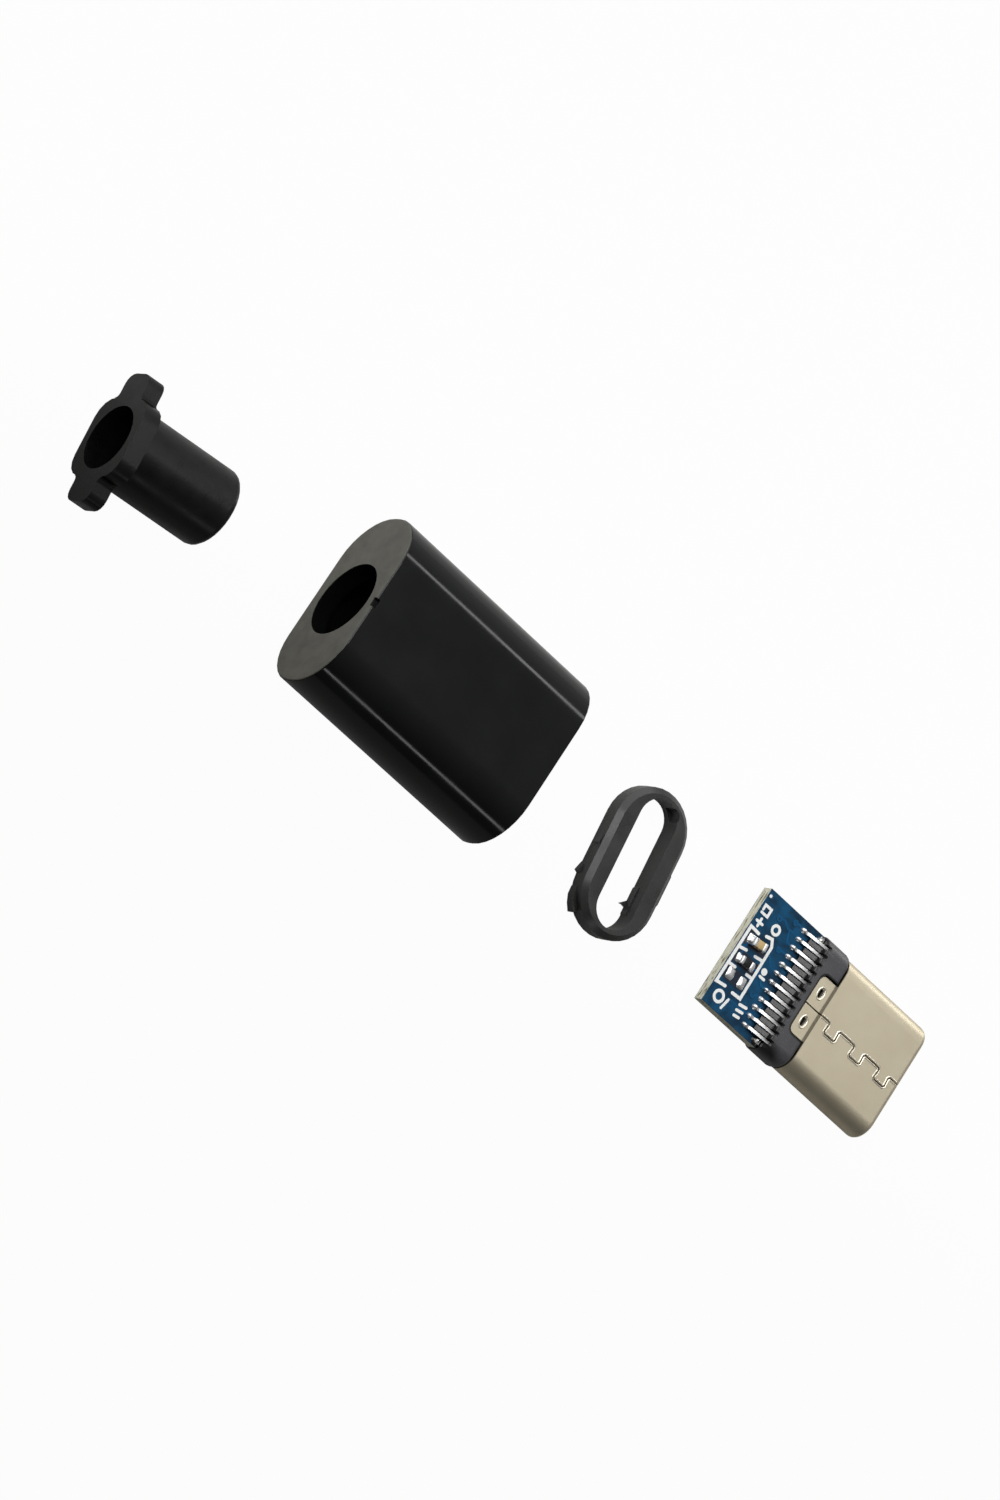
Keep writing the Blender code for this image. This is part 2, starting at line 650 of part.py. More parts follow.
def chip(name, height, side, turn, material, unit):
    """A small chip that lies along the plug's axis on the board, a little askew."""
    corner = Vector((CHIP_LENGTH / 2, CHIP_WIDTH / 2, height / 2))
    piece = add_piece(name, boxes([(-corner, corner)]), material, unit)
    piece.location = (-CHIP_SETBACK, side, BOARD_THICKNESS / 2 + INSERT_FIT + height / 2)
    piece.rotation_euler = (0.0, 0.0, turn)
    edge = piece.modifiers.new("edge", "BEVEL")
    edge.width = CHIP_ROUND
    edge.segments = 2
    return piece


def block_notches():
    """The comb's gaps, one for each tail, cut on into the block's rear edge."""
    ranges = []
    for number in range(CONTACTS_PER_ROW):
        y = (number - (CONTACTS_PER_ROW - 1) / 2) * TAIL_PITCH
        low = (-2 * COMB_LENGTH, y - NOTCH_WIDTH / 2, BOARD_THICKNESS / 4)
        high = (NOTCH_DEPTH, y + NOTCH_WIDTH / 2, BLOCK_HEIGHT)
        ranges.append((low, high))
    return boxes(both_ways(ranges, 2))


def tab_windows():
    """Room in the block for the tabs, round at its rear corners as they are."""
    half = TAB_WIDTH + TAB_SPLIT / 2 + TAB_GAP
    radius = TAB_CORNER + TAB_GAP
    rear = TAB_REAR_X - TAB_GAP
    side = []
    for step in range(EDGE_STEPS + 1):
        angle = math.radians(90 * step / EDGE_STEPS)
        x = rear + radius * (1 - math.cos(angle))
        side.append((x, half - radius * (1 - math.sin(angle))))
    side.append((BLOCK_LENGTH + SLIDE_FIT, half))
    outline = side + [(x, -y) for x, y in reversed(side)]
    floor = TAB_TOP_Z - SHELL_WALL - INSERT_FIT
    body = bmesh.new()
    for level in (1, -1):
        prism(outline, "Z", level * floor, level * BLOCK_HEIGHT, body)
    return body


def contact_block(unit):
    """The moulded block, its spigot inside the shell and its combs over the board."""
    block = add_piece(
        "contact_block",
        rounded_bar(
            BLOCK_WIDTH,
            BLOCK_HEIGHT,
            BLOCK_CORNER,
            0.0,
            BLOCK_LENGTH - INSERT_FIT,
            BLOCK_REAR_ROUND,
            BLOCK_FRONT_ROUND,
        ),
        BLOCK_PLASTIC,
        unit,
    )
    spigot = rounded_bar(
        INSULATOR_WIDTH, INSULATOR_HEIGHT, INSULATOR_HEIGHT / 2, BLOCK_LENGTH / 2, SPIGOT_FRONT_X
    )
    join(block, add_tool("block_spigot", spigot, unit))
    comb_half = (CONTACTS_PER_ROW - 1) / 2 * TAIL_PITCH
    comb_foot = BOARD_THICKNESS / 4
    comb_low = BOARD_THICKNESS / 2 + COMB_END_HEIGHT
    comb_high = BOARD_THICKNESS / 2 + COMB_ROOT_HEIGHT
    inside = 2 * BLOCK_REAR_ROUND
    for word, level in (("upper", 1), ("lower", -1)):
        outline = [
            (-COMB_LENGTH, level * comb_foot),
            (inside, level * comb_foot),
            (inside, level * comb_high),
            (0.0, level * comb_high),
            (-COMB_LENGTH, level * comb_low),
        ]
        comb = prism(outline, "Y", -comb_half, comb_half)
        join(block, add_tool(f"{word}_comb", comb, unit))
    cut(block, add_tool("tab_windows", tab_windows(), unit))
    room = BOARD_THICKNESS / 2 + INSERT_FIT
    cut(block, add_tool("board_pocket", prism(board_outline(INSERT_FIT / 2), "Z", -room, room), unit))
    cut(block, add_tool("comb_gaps", block_notches(), unit))
    cut(block, contact_channels(unit))
    latch_room = LATCH_THICKNESS / 2 + INSERT_FIT
    web_half = LATCH_LEG_CENTRE + LATCH_LEG_WIDTH / 2 + INSERT_FIT
    web = (
        (LATCH_WEB_REAR_X - INSERT_FIT, -web_half, -latch_room),
        (LATCH_WEB_FRONT_X + INSERT_FIT, web_half, latch_room),
    )
    cut(block, add_tool("latch_web_pocket", boxes([web]), unit))
    arm_half = LATCH_ARM_WIDTH / 2 + INSERT_FIT
    arm = (
        (LATCH_WEB_REAR_X + LATCH_WEB_LENGTH / 2, LATCH_ARM_CENTRE - arm_half, -latch_room),
        (SPIGOT_FRONT_X + SPIGOT_LENGTH / 2, LATCH_ARM_CENTRE + arm_half, latch_room),
    )
    cut(block, add_tool("latch_arm_channels", boxes(both_ways([arm], 1)), unit))
    leg_half = LATCH_LEG_WIDTH / 2 + INSERT_FIT
    leg = (
        (-COMB_LENGTH, LATCH_LEG_CENTRE - leg_half, -latch_room),
        (
            LATCH_WEB_REAR_X + LATCH_WEB_LENGTH / 2,
            LATCH_LEG_CENTRE + leg_half,
            LATCH_FOOT_Z + latch_room,
        ),
    )
    cut(block, add_tool("latch_leg_channels", boxes(both_ways([leg], 1)), unit))
    return block


def latch(unit):
    """One stamped plate: a web, two hooked side arms and two legs that end on the board."""
    body = bmesh.new()
    arm = (LATCH_ARM_CENTRE - LATCH_ARM_WIDTH / 2, LATCH_ARM_CENTRE + LATCH_ARM_WIDTH / 2)
    leg = (LATCH_LEG_CENTRE - LATCH_LEG_WIDTH / 2, LATCH_LEG_CENTRE + LATCH_LEG_WIDTH / 2)
    marks = sorted({*arm, *leg})
    marks = [-mark for mark in reversed(marks)] + marks
    rear = {y: body.verts.new((LATCH_WEB_REAR_X, y, 0.0)) for y in marks}
    front = {y: body.verts.new((LATCH_WEB_FRONT_X, y, 0.0)) for y in marks}
    for low, high in zip(marks, marks[1:]):
        body.faces.new((rear[low], front[low], front[high], rear[high]))
    hook = LATCH_TIP_X - LATCH_HOOK_LENGTH
    arm_rows = [
        (hook, 0.0),
        (hook + LATCH_HOOK_LENGTH * 0.35, LATCH_HOOK_REACH),
        (hook + LATCH_HOOK_LENGTH * 0.60, LATCH_HOOK_REACH),
        (LATCH_TIP_X, 0.0),
    ]
    ramp_front = LATCH_WEB_REAR_X - LATCH_THICKNESS
    leg_rows = [
        (ramp_front, 0.0),
        (-BLOCK_REAR_ROUND, LATCH_FOOT_Z),
        (-LATCH_FOOT_LENGTH, LATCH_FOOT_Z),
    ]
    for side in (1, -1):
        inner, outer = front[side * arm[0]], front[side * arm[1]]
        for x, reach in arm_rows:
            next_inner = body.verts.new((x, side * (arm[0] - reach), 0.0))
            next_outer = body.verts.new((x, side * arm[1], 0.0))
            body.faces.new((inner, next_inner, next_outer, outer))
            inner, outer = next_inner, next_outer
        inner, outer = rear[side * leg[0]], rear[side * leg[1]]
        for x, z in leg_rows:
            next_inner = body.verts.new((x, side * leg[0], z))
            next_outer = body.verts.new((x, side * leg[1], z))
            body.faces.new((inner, next_inner, next_outer, outer))
            inner, outer = next_inner, next_outer
    bmesh.ops.recalc_face_normals(body, faces=body.faces)
    plate = add_piece("latch_plate", body, SPRING_STEEL, unit)
    thicken(plate, LATCH_THICKNESS)
    return plate


def finger_centres():
    middle = (SPRING_FINGERS - 1) / 2
    return [(number - middle) * SPRING_FINGER_PITCH for number in range(SPRING_FINGERS)]


def ground_spring(name, level, unit):
    """A thin plate under the shell with fingers that dip into the mouth."""
    body = bmesh.new()
    edges = []
    for y in finger_centres():
        edges += [y - SPRING_FINGER_WIDTH / 2, y + SPRING_FINGER_WIDTH / 2]
    rear = [body.verts.new((SPRING_REAR_X, y, level * SPRING_Z)) for y in edges]
    front = [body.verts.new((SPRING_ROOT_X, y, level * SPRING_Z)) for y in edges]
    for i in range(len(edges) - 1):
        body.faces.new((rear[i], front[i], front[i + 1], rear[i + 1]))
    dip_start = MOUTH_STEP_X
    dip = SPRING_TIP_X - dip_start
    finger = [
        (dip_start, 0.0),
        (dip_start + dip * 0.55, SPRING_REACH),
        (dip_start + dip * 0.75, SPRING_REACH),
        (SPRING_TIP_X, SPRING_REACH * 0.5),
    ]
    for i in range(0, len(edges), 2):
        low, high = front[i], front[i + 1]
        for x, reach in finger:
            next_low = body.verts.new((x, edges[i], level * (SPRING_Z - reach)))
            next_high = body.verts.new((x, edges[i + 1], level * (SPRING_Z - reach)))
            body.faces.new((low, next_low, next_high, high))
            low, high = next_low, next_high
    bmesh.ops.recalc_face_normals(body, faces=body.faces)
    spring = add_piece(name, body, SPRING_STEEL, unit)
    thicken(spring, SPRING_THICKNESS)
    return spring


def front_insulator(unit):
    """The moulding in the mouth: slot, contact grooves, latch grooves and spring windows."""
    piece = add_piece(
        "front_insulator",
        rounded_bar(
            INSULATOR_WIDTH,
            INSULATOR_HEIGHT,
            INSULATOR_HEIGHT / 2,
            INSULATOR_REAR_X,
            INSULATOR_FRONT_X,
        ),
        BLOCK_PLASTIC,
        unit,
    )
    beyond = MOUTH_X + SHELL_WALL
    behind = INSULATOR_REAR_X - SHELL_WALL
    mouth = rounded_bar(
        SLOT_OPENING_WIDTH, MOUTH_OPENING_HEIGHT, MOUTH_OPENING_HEIGHT / 2, MOUTH_STEP_X, beyond
    )
    cut(piece, add_tool("mouth_opening", mouth, unit))
    slot = rounded_bar(SLOT_OPENING_WIDTH, TONGUE_GAP, TONGUE_GAP / 4, behind, beyond)
    cut(piece, add_tool("tongue_slot", slot, unit))
    grooves = []
    for number in range(CONTACTS_PER_ROW):
        y = (number - (CONTACTS_PER_ROW - 1) / 2) * FRONT_PITCH
        low = (behind, y - GROOVE_WIDTH / 2, TONGUE_GAP / 4)
        high = (GROOVE_FRONT_X, y + GROOVE_WIDTH / 2, TONGUE_GAP / 2 + GROOVE_DEPTH)
        grooves.append((low, high))
    cut(piece, add_tool("contact_grooves", boxes(both_ways(grooves, 2)), unit))
    outside = LATCH_ARM_CENTRE + LATCH_ARM_WIDTH / 2 + SLIDE_FIT
    side_room = LATCH_THICKNESS / 2 + SLIDE_FIT
    side = (
        (behind, SLOT_OPENING_WIDTH / 2 - LATCH_ARM_WIDTH, -side_room),
        (LATCH_TIP_X + SLIDE_FIT, outside, side_room),
    )
    cut(piece, add_tool("latch_grooves", boxes(both_ways([side], 1)), unit))
    last_finger = finger_centres()[-1] + SPRING_FINGER_WIDTH / 2 + SLIDE_FIT
    recess = (
        (SPRING_REAR_X - SLIDE_FIT, -last_finger, SPRING_FLOOR_Z),
        (MOUTH_STEP_X - SLIDE_FIT, last_finger, SHELL_HEIGHT),
    )
    cut(piece, add_tool("spring_recesses", boxes(both_ways([recess], 2)), unit))
    windows = []
    for y in finger_centres():
        half = SPRING_FINGER_WIDTH / 2 + SLIDE_FIT
        low = (MOUTH_STEP_X - 2 * SLIDE_FIT, y - half, TONGUE_GAP / 2 + 2 * SLIDE_FIT)
        high = (SPRING_TIP_X + SLIDE_FIT, y + half, SHELL_HEIGHT)
        windows.append((low, high))
    cut(piece, add_tool("spring_windows", boxes(both_ways(windows, 2)), unit))
    return piece


def ring_catches(mouth_x, grow=0.0):
    """Three catches that rise along the ring's rim and stop short, and a rib on its far side."""
    side = RING_THICKNESS / 2
    end_centre = Vector(((RING_THICKNESS - RING_WIDTH) / 2, 0.0))
    body = bmesh.new()
    for (start, end), reach, heights in (
        (MIDDLE_CATCH_SPAN, MIDDLE_CATCH_REACH, MIDDLE_CATCH_HEIGHTS),
        (SIDE_CATCH_SPAN, SIDE_CATCH_REACH, SIDE_CATCH_HEIGHTS),
    ):
        outline = [
            (start + grow, CATCH_ROOT - side),
            (start + grow, -side - grow),
            (end, -side - reach - grow),
            (end - CATCH_STEP - grow, -side - grow),
            (end - CATCH_STEP - grow, CATCH_ROOT - side),
        ]
        prism(outline, "X", mouth_x - heights[1] - grow, mouth_x - heights[0] + grow, body)
    outline = []
    start, end = END_CATCH_TURN
    for step in range(EDGE_STEPS + 1):
        share = step / EDGE_STEPS
        angle = start + (end - start) * share
        reach = side + grow + END_CATCH_REACH * math.sqrt(share)
        outline.append(tuple(end_centre + reach * Vector((math.sin(angle), math.cos(angle)))))
    for angle in (end, start):
        root = side - CATCH_ROOT
        outline.append(tuple(end_centre + root * Vector((math.sin(angle), math.cos(angle)))))
    heights = END_CATCH_HEIGHTS
    prism(outline, "X", mouth_x - heights[1] - grow, mouth_x - heights[0] + grow, body)
    start, end = RIB_SPAN
    outline = [
        (start + grow, side - CATCH_ROOT),
        (start + grow, side + grow),
        (start - 2 * CATCH_STEP, side + RIB_REACH + grow),
        (end + 2 * CATCH_STEP, side + RIB_REACH + grow),
        (end - grow, side + grow),
        (end - grow, side - CATCH_ROOT),
    ]
    prism(outline, "X", mouth_x - RIB_HEIGHTS[1] - grow, mouth_x - RIB_HEIGHTS[0] + grow, body)
    return body


def retaining_ring(unit):
    """An oval ring round the block, chamfered at the end that enters the housing first."""
    body = loft(
        [
            (x, rounded_outline(RING_WIDTH, RING_THICKNESS, RING_THICKNESS / 2, inset))
            for x, inset in (
                (0.0, RING_CHAMFER),
                (RING_CHAMFER_DROP, 0.0),
                (RING_HEIGHT - RING_EDGE, 0.0),
                (RING_HEIGHT, RING_EDGE),
            )
        ]
    )
    ring = add_piece("retaining_ring", body, RING_PLASTIC, unit)
    join(ring, add_tool("catches", ring_catches(RING_HEIGHT), unit))
    opening = rounded_bar(
        RING_OPENING_WIDTH,
        RING_OPENING_HEIGHT,
        RING_OPENING_HEIGHT / 2,
        -RING_HEIGHT,
        2 * RING_HEIGHT,
    )
    cut(ring, add_tool("block_opening", opening, unit))
    end_y = (RING_OPENING_WIDTH - RING_OPENING_HEIGHT) / 2
    reach = (RING_OPENING_HEIGHT / 2 + RELIEF_CUT_DEPTH - RELIEF_CUT_RADIUS) * math.sqrt(0.5)
    centre = (-RELIEF_CUT_FLOOR, end_y + reach, reach)
    relief = cylinder(RELIEF_CUT_RADIUS, centre, "X", 2 * RING_HEIGHT, 2 * ARC_STEPS)
    cut(ring, add_tool("relief_cut", relief, unit))
    return ring


def housing(unit):
    """A moulded sleeve with round-cornered section, open at the mouth, holed at the rear."""
    shell = add_piece(
        "housing",
        rounded_bar(
            HOUSING_WIDTH,
            HOUSING_HEIGHT,
            HOUSING_CORNER,
            0.0,
            HOUSING_LENGTH,
            HOUSING_END_ROUND,
            HOUSING_MOUTH_EDGE,
        ),
        HOUSING_PLASTIC,
        unit,
    )
    cavity = rounded_bar(
        CAVITY_WIDTH,
        CAVITY_HEIGHT,
        CAVITY_HEIGHT / 2,
        HOUSING_END_WALL,
        HOUSING_LENGTH + HOUSING_END_WALL,
    )
    cut(shell, add_tool("cavity", cavity, unit))
    hole = cylinder(SLEEVE_DIAMETER / 2 + SLIDE_FIT, (0, 0, 0), "X", 4 * HOUSING_END_WALL)
    cut(shell, add_tool("cable_hole", hole, unit))
    pockets = ring_catches(HOUSING_LENGTH, SLIDE_FIT)
    cut(shell, add_tool("catch_pockets", pockets, unit))
    top = HOUSING_HEIGHT / 2
    nick = (
        (-NICK_DEPTH, -NICK_WIDTH / 2, top - NICK_DEPTH),
        (NICK_DEPTH, NICK_WIDTH / 2, top + NICK_DEPTH),
    )
    cut(shell, add_tool("end_nick", boxes([nick]), unit))
    return shell


def flange_outline():
    """The flange seen along its axis (y, z): a rounded body with two ears, hollow at their roots."""
    half_width, half_height = FLANGE_WIDTH / 2, FLANGE_HEIGHT / 2
    half_ear = EAR_HEIGHT / 2
    ear_corner = min(EAR_CORNER, EAR_SPAN / 2 - half_width - EAR_FILLET)

    def arc(centre, radius, start, end):
        steps = ARC_STEPS // 2
        for step in range(steps + 1):
            angle = math.radians(start + (end - start) * step / steps)
            yield centre[0] + radius * math.cos(angle), centre[1] + radius * math.sin(angle)

    corner = (EAR_SPAN / 2 - ear_corner, half_ear - ear_corner)
    root = (half_width + EAR_FILLET, half_ear + EAR_FILLET)
    shoulder = (half_width - FLANGE_CORNER, half_height - FLANGE_CORNER)
    quarter = [*arc(corner, ear_corner, 0, 90), *arc(root, EAR_FILLET, 270, 180)]
    quarter += arc(shoulder, FLANGE_CORNER, 0, 90)
    points = quarter + [(-y, z) for y, z in reversed(quarter)]
    return points + [(-y, -z) for y, z in quarter] + [(y, -z) for y, z in reversed(quarter)]


def strain_relief(unit):
    """A sleeve for the cable, with a rounded end and an eared flange that stays in the housing."""
    sleeve = add_piece(
        "strain_relief",
        rounded_bar(
            SLEEVE_DIAMETER,
            SLEEVE_DIAMETER,
            SLEEVE_DIAMETER / 2,
            -FLANGE_THICKNESS / 2,
            SLEEVE_LENGTH,
            0.0,
            SLEEVE_END_ROUND,
        ),
        RELIEF_PLASTIC,
        unit,
    )
    flange = prism(flange_outline(), "X", -FLANGE_THICKNESS, 0.0)
    join(sleeve, add_tool("flange", flange, unit))
    bore_length = 3 * (SLEEVE_LENGTH + FLANGE_THICKNESS)
    bore = cylinder(SLEEVE_BORE / 2, (0, 0, 0), "X", bore_length)
    cut(sleeve, add_tool("cable_bore", bore, unit))
    return sleeve


def build():
    connector = place("connector_unit")
    metal_shell(connector)
    contact_block(connector)
    front_insulator(connector)
    contacts(connector)
    latch(connector)
    ground_spring("upper_ground_spring", 1, connector)
    ground_spring("lower_ground_spring", -1, connector)
    circuit_board(connector)
    chip("capacitor", CAPACITOR_HEIGHT, CAPACITOR_SIDE, CAPACITOR_TURN, CERAMIC_TAN, connector)
    chip("resistor", RESISTOR_HEIGHT, RESISTOR_SIDE, RESISTOR_TURN, RESISTOR_BLACK, connector)
    connector.location = (0.0, 0.0, BLOCK_HEIGHT / 2)

    ring_unit = place("ring_unit")
    retaining_ring(ring_unit)
    ring_reach = RING_THICKNESS / 2 + (RING_WIDTH - RING_THICKNESS) / 2 * math.sin(RING_TURN)
    ring_x = -BOARD_LENGTH - RING_TO_BOARD - ring_reach
    ring_unit.location = (ring_x, RING_ASIDE, RING_HEIGHT)
    ring_unit.rotation_euler = (0.0, math.radians(90), RING_TURN)

    housing_unit = place("housing_unit")
    housing(housing_unit)
    housing_x = ring_x - ring_reach - HOUSING_TO_RING - HOUSING_LENGTH
    housing_unit.location = (housing_x, HOUSING_ASIDE, HOUSING_HEIGHT / 2)

    relief_unit = place("relief_unit")
    strain_relief(relief_unit)
    # The flange stands a little higher than the sleeve, so the far end dips to the table
    dip = math.atan2(
        (FLANGE_HEIGHT - SLEEVE_DIAMETER) / 2, SLEEVE_LENGTH - SLEEVE_END_ROUND
    )
    relief_x = housing_x - SLEEVE_TO_HOUSING - SLEEVE_LENGTH * math.cos(SLEEVE_TURN)
    relief_unit.location = (relief_x, SLEEVE_ASIDE, FLANGE_HEIGHT / 2 * math.cos(dip))
    relief_unit.rotation_euler = (0.0, dip, SLEEVE_TURN)

    centre_on_origin((connector, ring_unit, housing_unit, relief_unit))


def centre_on_origin(units):
    """Move all units together so that the middle of their footprint is the origin."""
    bpy.context.view_layer.update()
    graph = bpy.context.evaluated_depsgraph_get()
    points = []
    for piece in PLUG.objects:
        if piece.type == "MESH":
            shape = piece.evaluated_get(graph)
            points += [shape.matrix_world @ vertex.co for vertex in shape.data.vertices]
    for axis in (0, 1):
        values = [point[axis] for point in points]
        middle = (min(values) + max(values)) / 2
        for unit in units:
            unit.location[axis] -= middle


def shade():
    """Smooth shading, with creases where faces meet at more than 35 degrees."""
    for piece in PLUG.objects:
        if piece.type == "MESH":
            piece.data.shade_smooth()
            piece.data.set_sharp_from_angle(angle=math.radians(35))


build()
shade()
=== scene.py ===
import math
import random

import bmesh
import bpy
from mathutils import Matrix, Vector


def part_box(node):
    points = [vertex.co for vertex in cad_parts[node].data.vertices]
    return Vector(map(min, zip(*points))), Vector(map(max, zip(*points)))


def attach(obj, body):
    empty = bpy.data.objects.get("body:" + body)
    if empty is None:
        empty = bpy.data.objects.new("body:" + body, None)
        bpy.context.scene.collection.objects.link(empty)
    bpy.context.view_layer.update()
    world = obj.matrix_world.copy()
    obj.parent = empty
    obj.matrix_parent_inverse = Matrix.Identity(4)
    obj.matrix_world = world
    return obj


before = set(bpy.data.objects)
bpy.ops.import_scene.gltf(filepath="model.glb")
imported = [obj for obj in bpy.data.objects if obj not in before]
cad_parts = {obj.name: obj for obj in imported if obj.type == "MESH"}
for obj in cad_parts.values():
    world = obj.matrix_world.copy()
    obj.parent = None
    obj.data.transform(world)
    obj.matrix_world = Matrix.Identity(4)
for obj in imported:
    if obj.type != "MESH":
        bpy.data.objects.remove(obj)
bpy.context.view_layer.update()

# The view. The four pieces lie in a line on a table, and a long lens looks down on them from
# behind their cable end and a little from the left.
MM = 0.001
COMB_LENGTH = 1.0 * MM
block_low, block_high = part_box("contact_block")
block_rear = Vector((block_low.x + COMB_LENGTH, (block_low.y + block_high.y) / 2, 0.0))
view_right = Vector((0.64905969, 0.52645001, 0.54915563))
view_up = Vector((-0.59399843, 0.80171258, -0.06650419))
view_back = view_right.cross(view_up)
camera = bpy.data.objects.new("camera", bpy.data.cameras.new("camera"))
bpy.context.scene.collection.objects.link(camera)
camera.data.lens = 157.5816
camera.data.sensor_width = 36.0
camera.data.clip_start = 0.02
camera.data.clip_end = 20.0
camera_place = block_rear + Vector((-209.65943, -110.29073, 323.06781)) * MM
turned = Matrix((view_right, view_up, view_back)).transposed().to_4x4()
camera.matrix_world = Matrix.Translation(camera_place) @ turned
bpy.context.scene.camera = camera

# The table and the light. A white table top, a dim room that is paler on the left-hand side, one
# broad soft lamp from there, and smaller lamps whose reflections draw the bright lines.
scene = bpy.context.scene
scene.view_settings.view_transform = "Standard"


def linear(code):
    """The linear colour of an sRGB hex code."""
    parts = [int(code[i : i + 2], 16) / 255 for i in (1, 3, 5)]
    return tuple(p / 12.92 if p <= 0.04045 else ((p + 0.055) / 1.055) ** 2.4 for p in parts) + (1.0,)


def add_node(tree, kind, sockets=(), **settings):
    """Adds a node; each socket takes a value, or the output that feeds it."""
    made = tree.nodes.new(kind)
    for name, value in settings.items():
        setattr(made, name, value)
    for socket, value in dict(sockets).items():
        if isinstance(value, bpy.types.NodeSocket):
            tree.links.new(value, made.inputs[socket])
        else:
            made.inputs[socket].default_value = value
    return made


def start_material(name, **surface):
    """A material with its shader's plain values, such as Base_Color or Roughness."""
    material = bpy.data.materials.new(name)
    material.use_nodes = True
    shader = material.node_tree.nodes["Principled BSDF"]
    for socket, value in surface.items():
        shader.inputs[socket.replace("_", " ")].default_value = value
    return material, material.node_tree, shader


SHADED_Y = -7.0 * MM
LIT_Y = 2.0 * MM
MIRRORED_SHARE = 0.08
CAMERA_SHARE = 0.97
table_white, tree, shader = start_material("matt_white_table", Roughness=0.9, Specular_IOR_Level=0.2)
# The matt top is paler on the left of the pieces, where the lamp stands, than in their shadow
place = add_node(tree, "ShaderNodeTexCoord")
axes = add_node(tree, "ShaderNodeSeparateXYZ", {0: place.outputs["Object"]})
lit = add_node(
    tree,
    "ShaderNodeMapRange",
    {"Value": axes.outputs["Y"], "From Min": SHADED_Y, "From Max": LIT_Y},
)
tone = add_node(
    tree,
    "ShaderNodeMix",
    {"Factor": lit.outputs[0], "A": linear("#5c5c5a"), "B": linear("#bcbcba")},
    data_type="RGBA",
)
tree.links.new(tone.outputs[2], shader.inputs["Base Color"])
# White to the camera. In the pieces' reflections it is white only in part, and keeps their shadows
seen = add_node(tree, "ShaderNodeLightPath")
mirrored = add_node(
    tree,
    "ShaderNodeMath",
    {0: seen.outputs["Is Glossy Ray"], 1: seen.outputs["Is Transmission Ray"]},
    operation="MAXIMUM",
)
in_mirror = add_node(
    tree, "ShaderNodeMath", {0: mirrored.outputs[0], 1: MIRRORED_SHARE}, operation="MULTIPLY"
)
in_camera = add_node(
    tree, "ShaderNodeMath", {0: seen.outputs["Is Camera Ray"], 1: CAMERA_SHARE}, operation="MULTIPLY"
)
share = add_node(
    tree, "ShaderNodeMath", {0: in_mirror.outputs[0], 1: in_camera.outputs[0]}, operation="MAXIMUM"
)
white = add_node(tree, "ShaderNodeEmission", {"Color": linear("#ffffff"), "Strength": 1.0})
mixed = add_node(
    tree,
    "ShaderNodeMixShader",
    {0: share.outputs[0], 1: shader.outputs[0], 2: white.outputs[0]},
)
tree.links.new(mixed.outputs[0], tree.nodes["Material Output"].inputs["Surface"])

TABLE_HALF = 3.0
TABLE_DROP = 0.005 * MM
body = bmesh.new()
corners = [(-1, -1), (1, -1), (1, 1), (-1, 1)]
body.faces.new([body.verts.new((x * TABLE_HALF, y * TABLE_HALF, -TABLE_DROP)) for x, y in corners])
mesh = bpy.data.meshes.new("table_top")
body.to_mesh(mesh)
body.free()
mesh.materials.append(table_white)
table_top = bpy.data.objects.new("table_top", mesh)
scene.collection.objects.link(table_top)

# The room grows paler towards the left, and is white where the camera sees it past the table
room = bpy.data.worlds.new("dim_room")
scene.world = room
room.use_nodes = True
tree = room.node_tree
way = add_node(tree, "ShaderNodeTexCoord")
sides = add_node(tree, "ShaderNodeSeparateXYZ", {0: way.outputs["Generated"]})
level = add_node(
    tree,
    "ShaderNodeMapRange",
    {
        "Value": sides.outputs["Y"],
        "From Min": -0.7,
        "From Max": 0.9,
        "To Min": 0.07,
        "To Max": 0.48,
    },
)
seen = add_node(tree, "ShaderNodeLightPath")
backdrop = add_node(
    tree,
    "ShaderNodeMix",
    {"Factor": seen.outputs["Is Camera Ray"], "A": level.outputs[0], "B": linear("#fcfcfc")},
    data_type="RGBA",
)
tree.links.new(backdrop.outputs[2], tree.nodes["Background"].inputs["Color"])
tree.nodes["Background"].inputs["Strength"].default_value = 1.0


def add_lamp(name, toward, along, width, length, strength, distance=0.6, centre=(0, 0, 0)):
    """A flat rectangular lamp that faces a place on the pieces, long in the second direction."""
    data = bpy.data.lights.new(name, "AREA")
    data.shape = "RECTANGLE"
    data.size = width
    data.size_y = length
    data.energy = strength * math.pi * width * length
    toward = Vector(toward).normalized()
    across = Vector(along).cross(toward).normalized()
    lamp = bpy.data.objects.new(name, data)
    axes = Matrix((across, toward.cross(across), toward)).transposed().to_4x4()
    lamp.matrix_world = Matrix.Translation(Vector(centre) + toward * distance) @ axes
    lamp.visible_camera = False
    scene.collection.objects.link(lamp)


ALONG = (1, 0, 0)
UP = (0, 0, 1)
add_lamp("broad_lamp", (-0.45, 0.60, 0.66), UP, width=1.0, length=1.0, strength=1.6)
add_lamp("overhead_lamp", (0.22, 0.27, 0.937), ALONG, width=0.12, length=0.12, strength=8.0)
# Two narrow lamps near the housing draw the line on each of its round sides
housing_low, housing_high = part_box("housing")
housing_middle = (housing_low + housing_high) / 2
right_line = housing_middle + Vector((0.0, -4.78, 2.54)) * MM
left_line = housing_middle + Vector((0.0, 3.51, 3.19)) * MM
add_lamp(
    "right_line_lamp",
    (0.475, -0.777, 0.409),
    ALONG,
    width=0.006,
    length=0.024,
    strength=3.6,
    distance=0.08,
    centre=right_line,
)
add_lamp(
    "left_line_lamp",
    (0.475, 0.630, 0.613),
    ALONG,
    width=0.0075,
    length=0.024,
    strength=5.0,
    distance=0.08,
    centre=left_line,
)
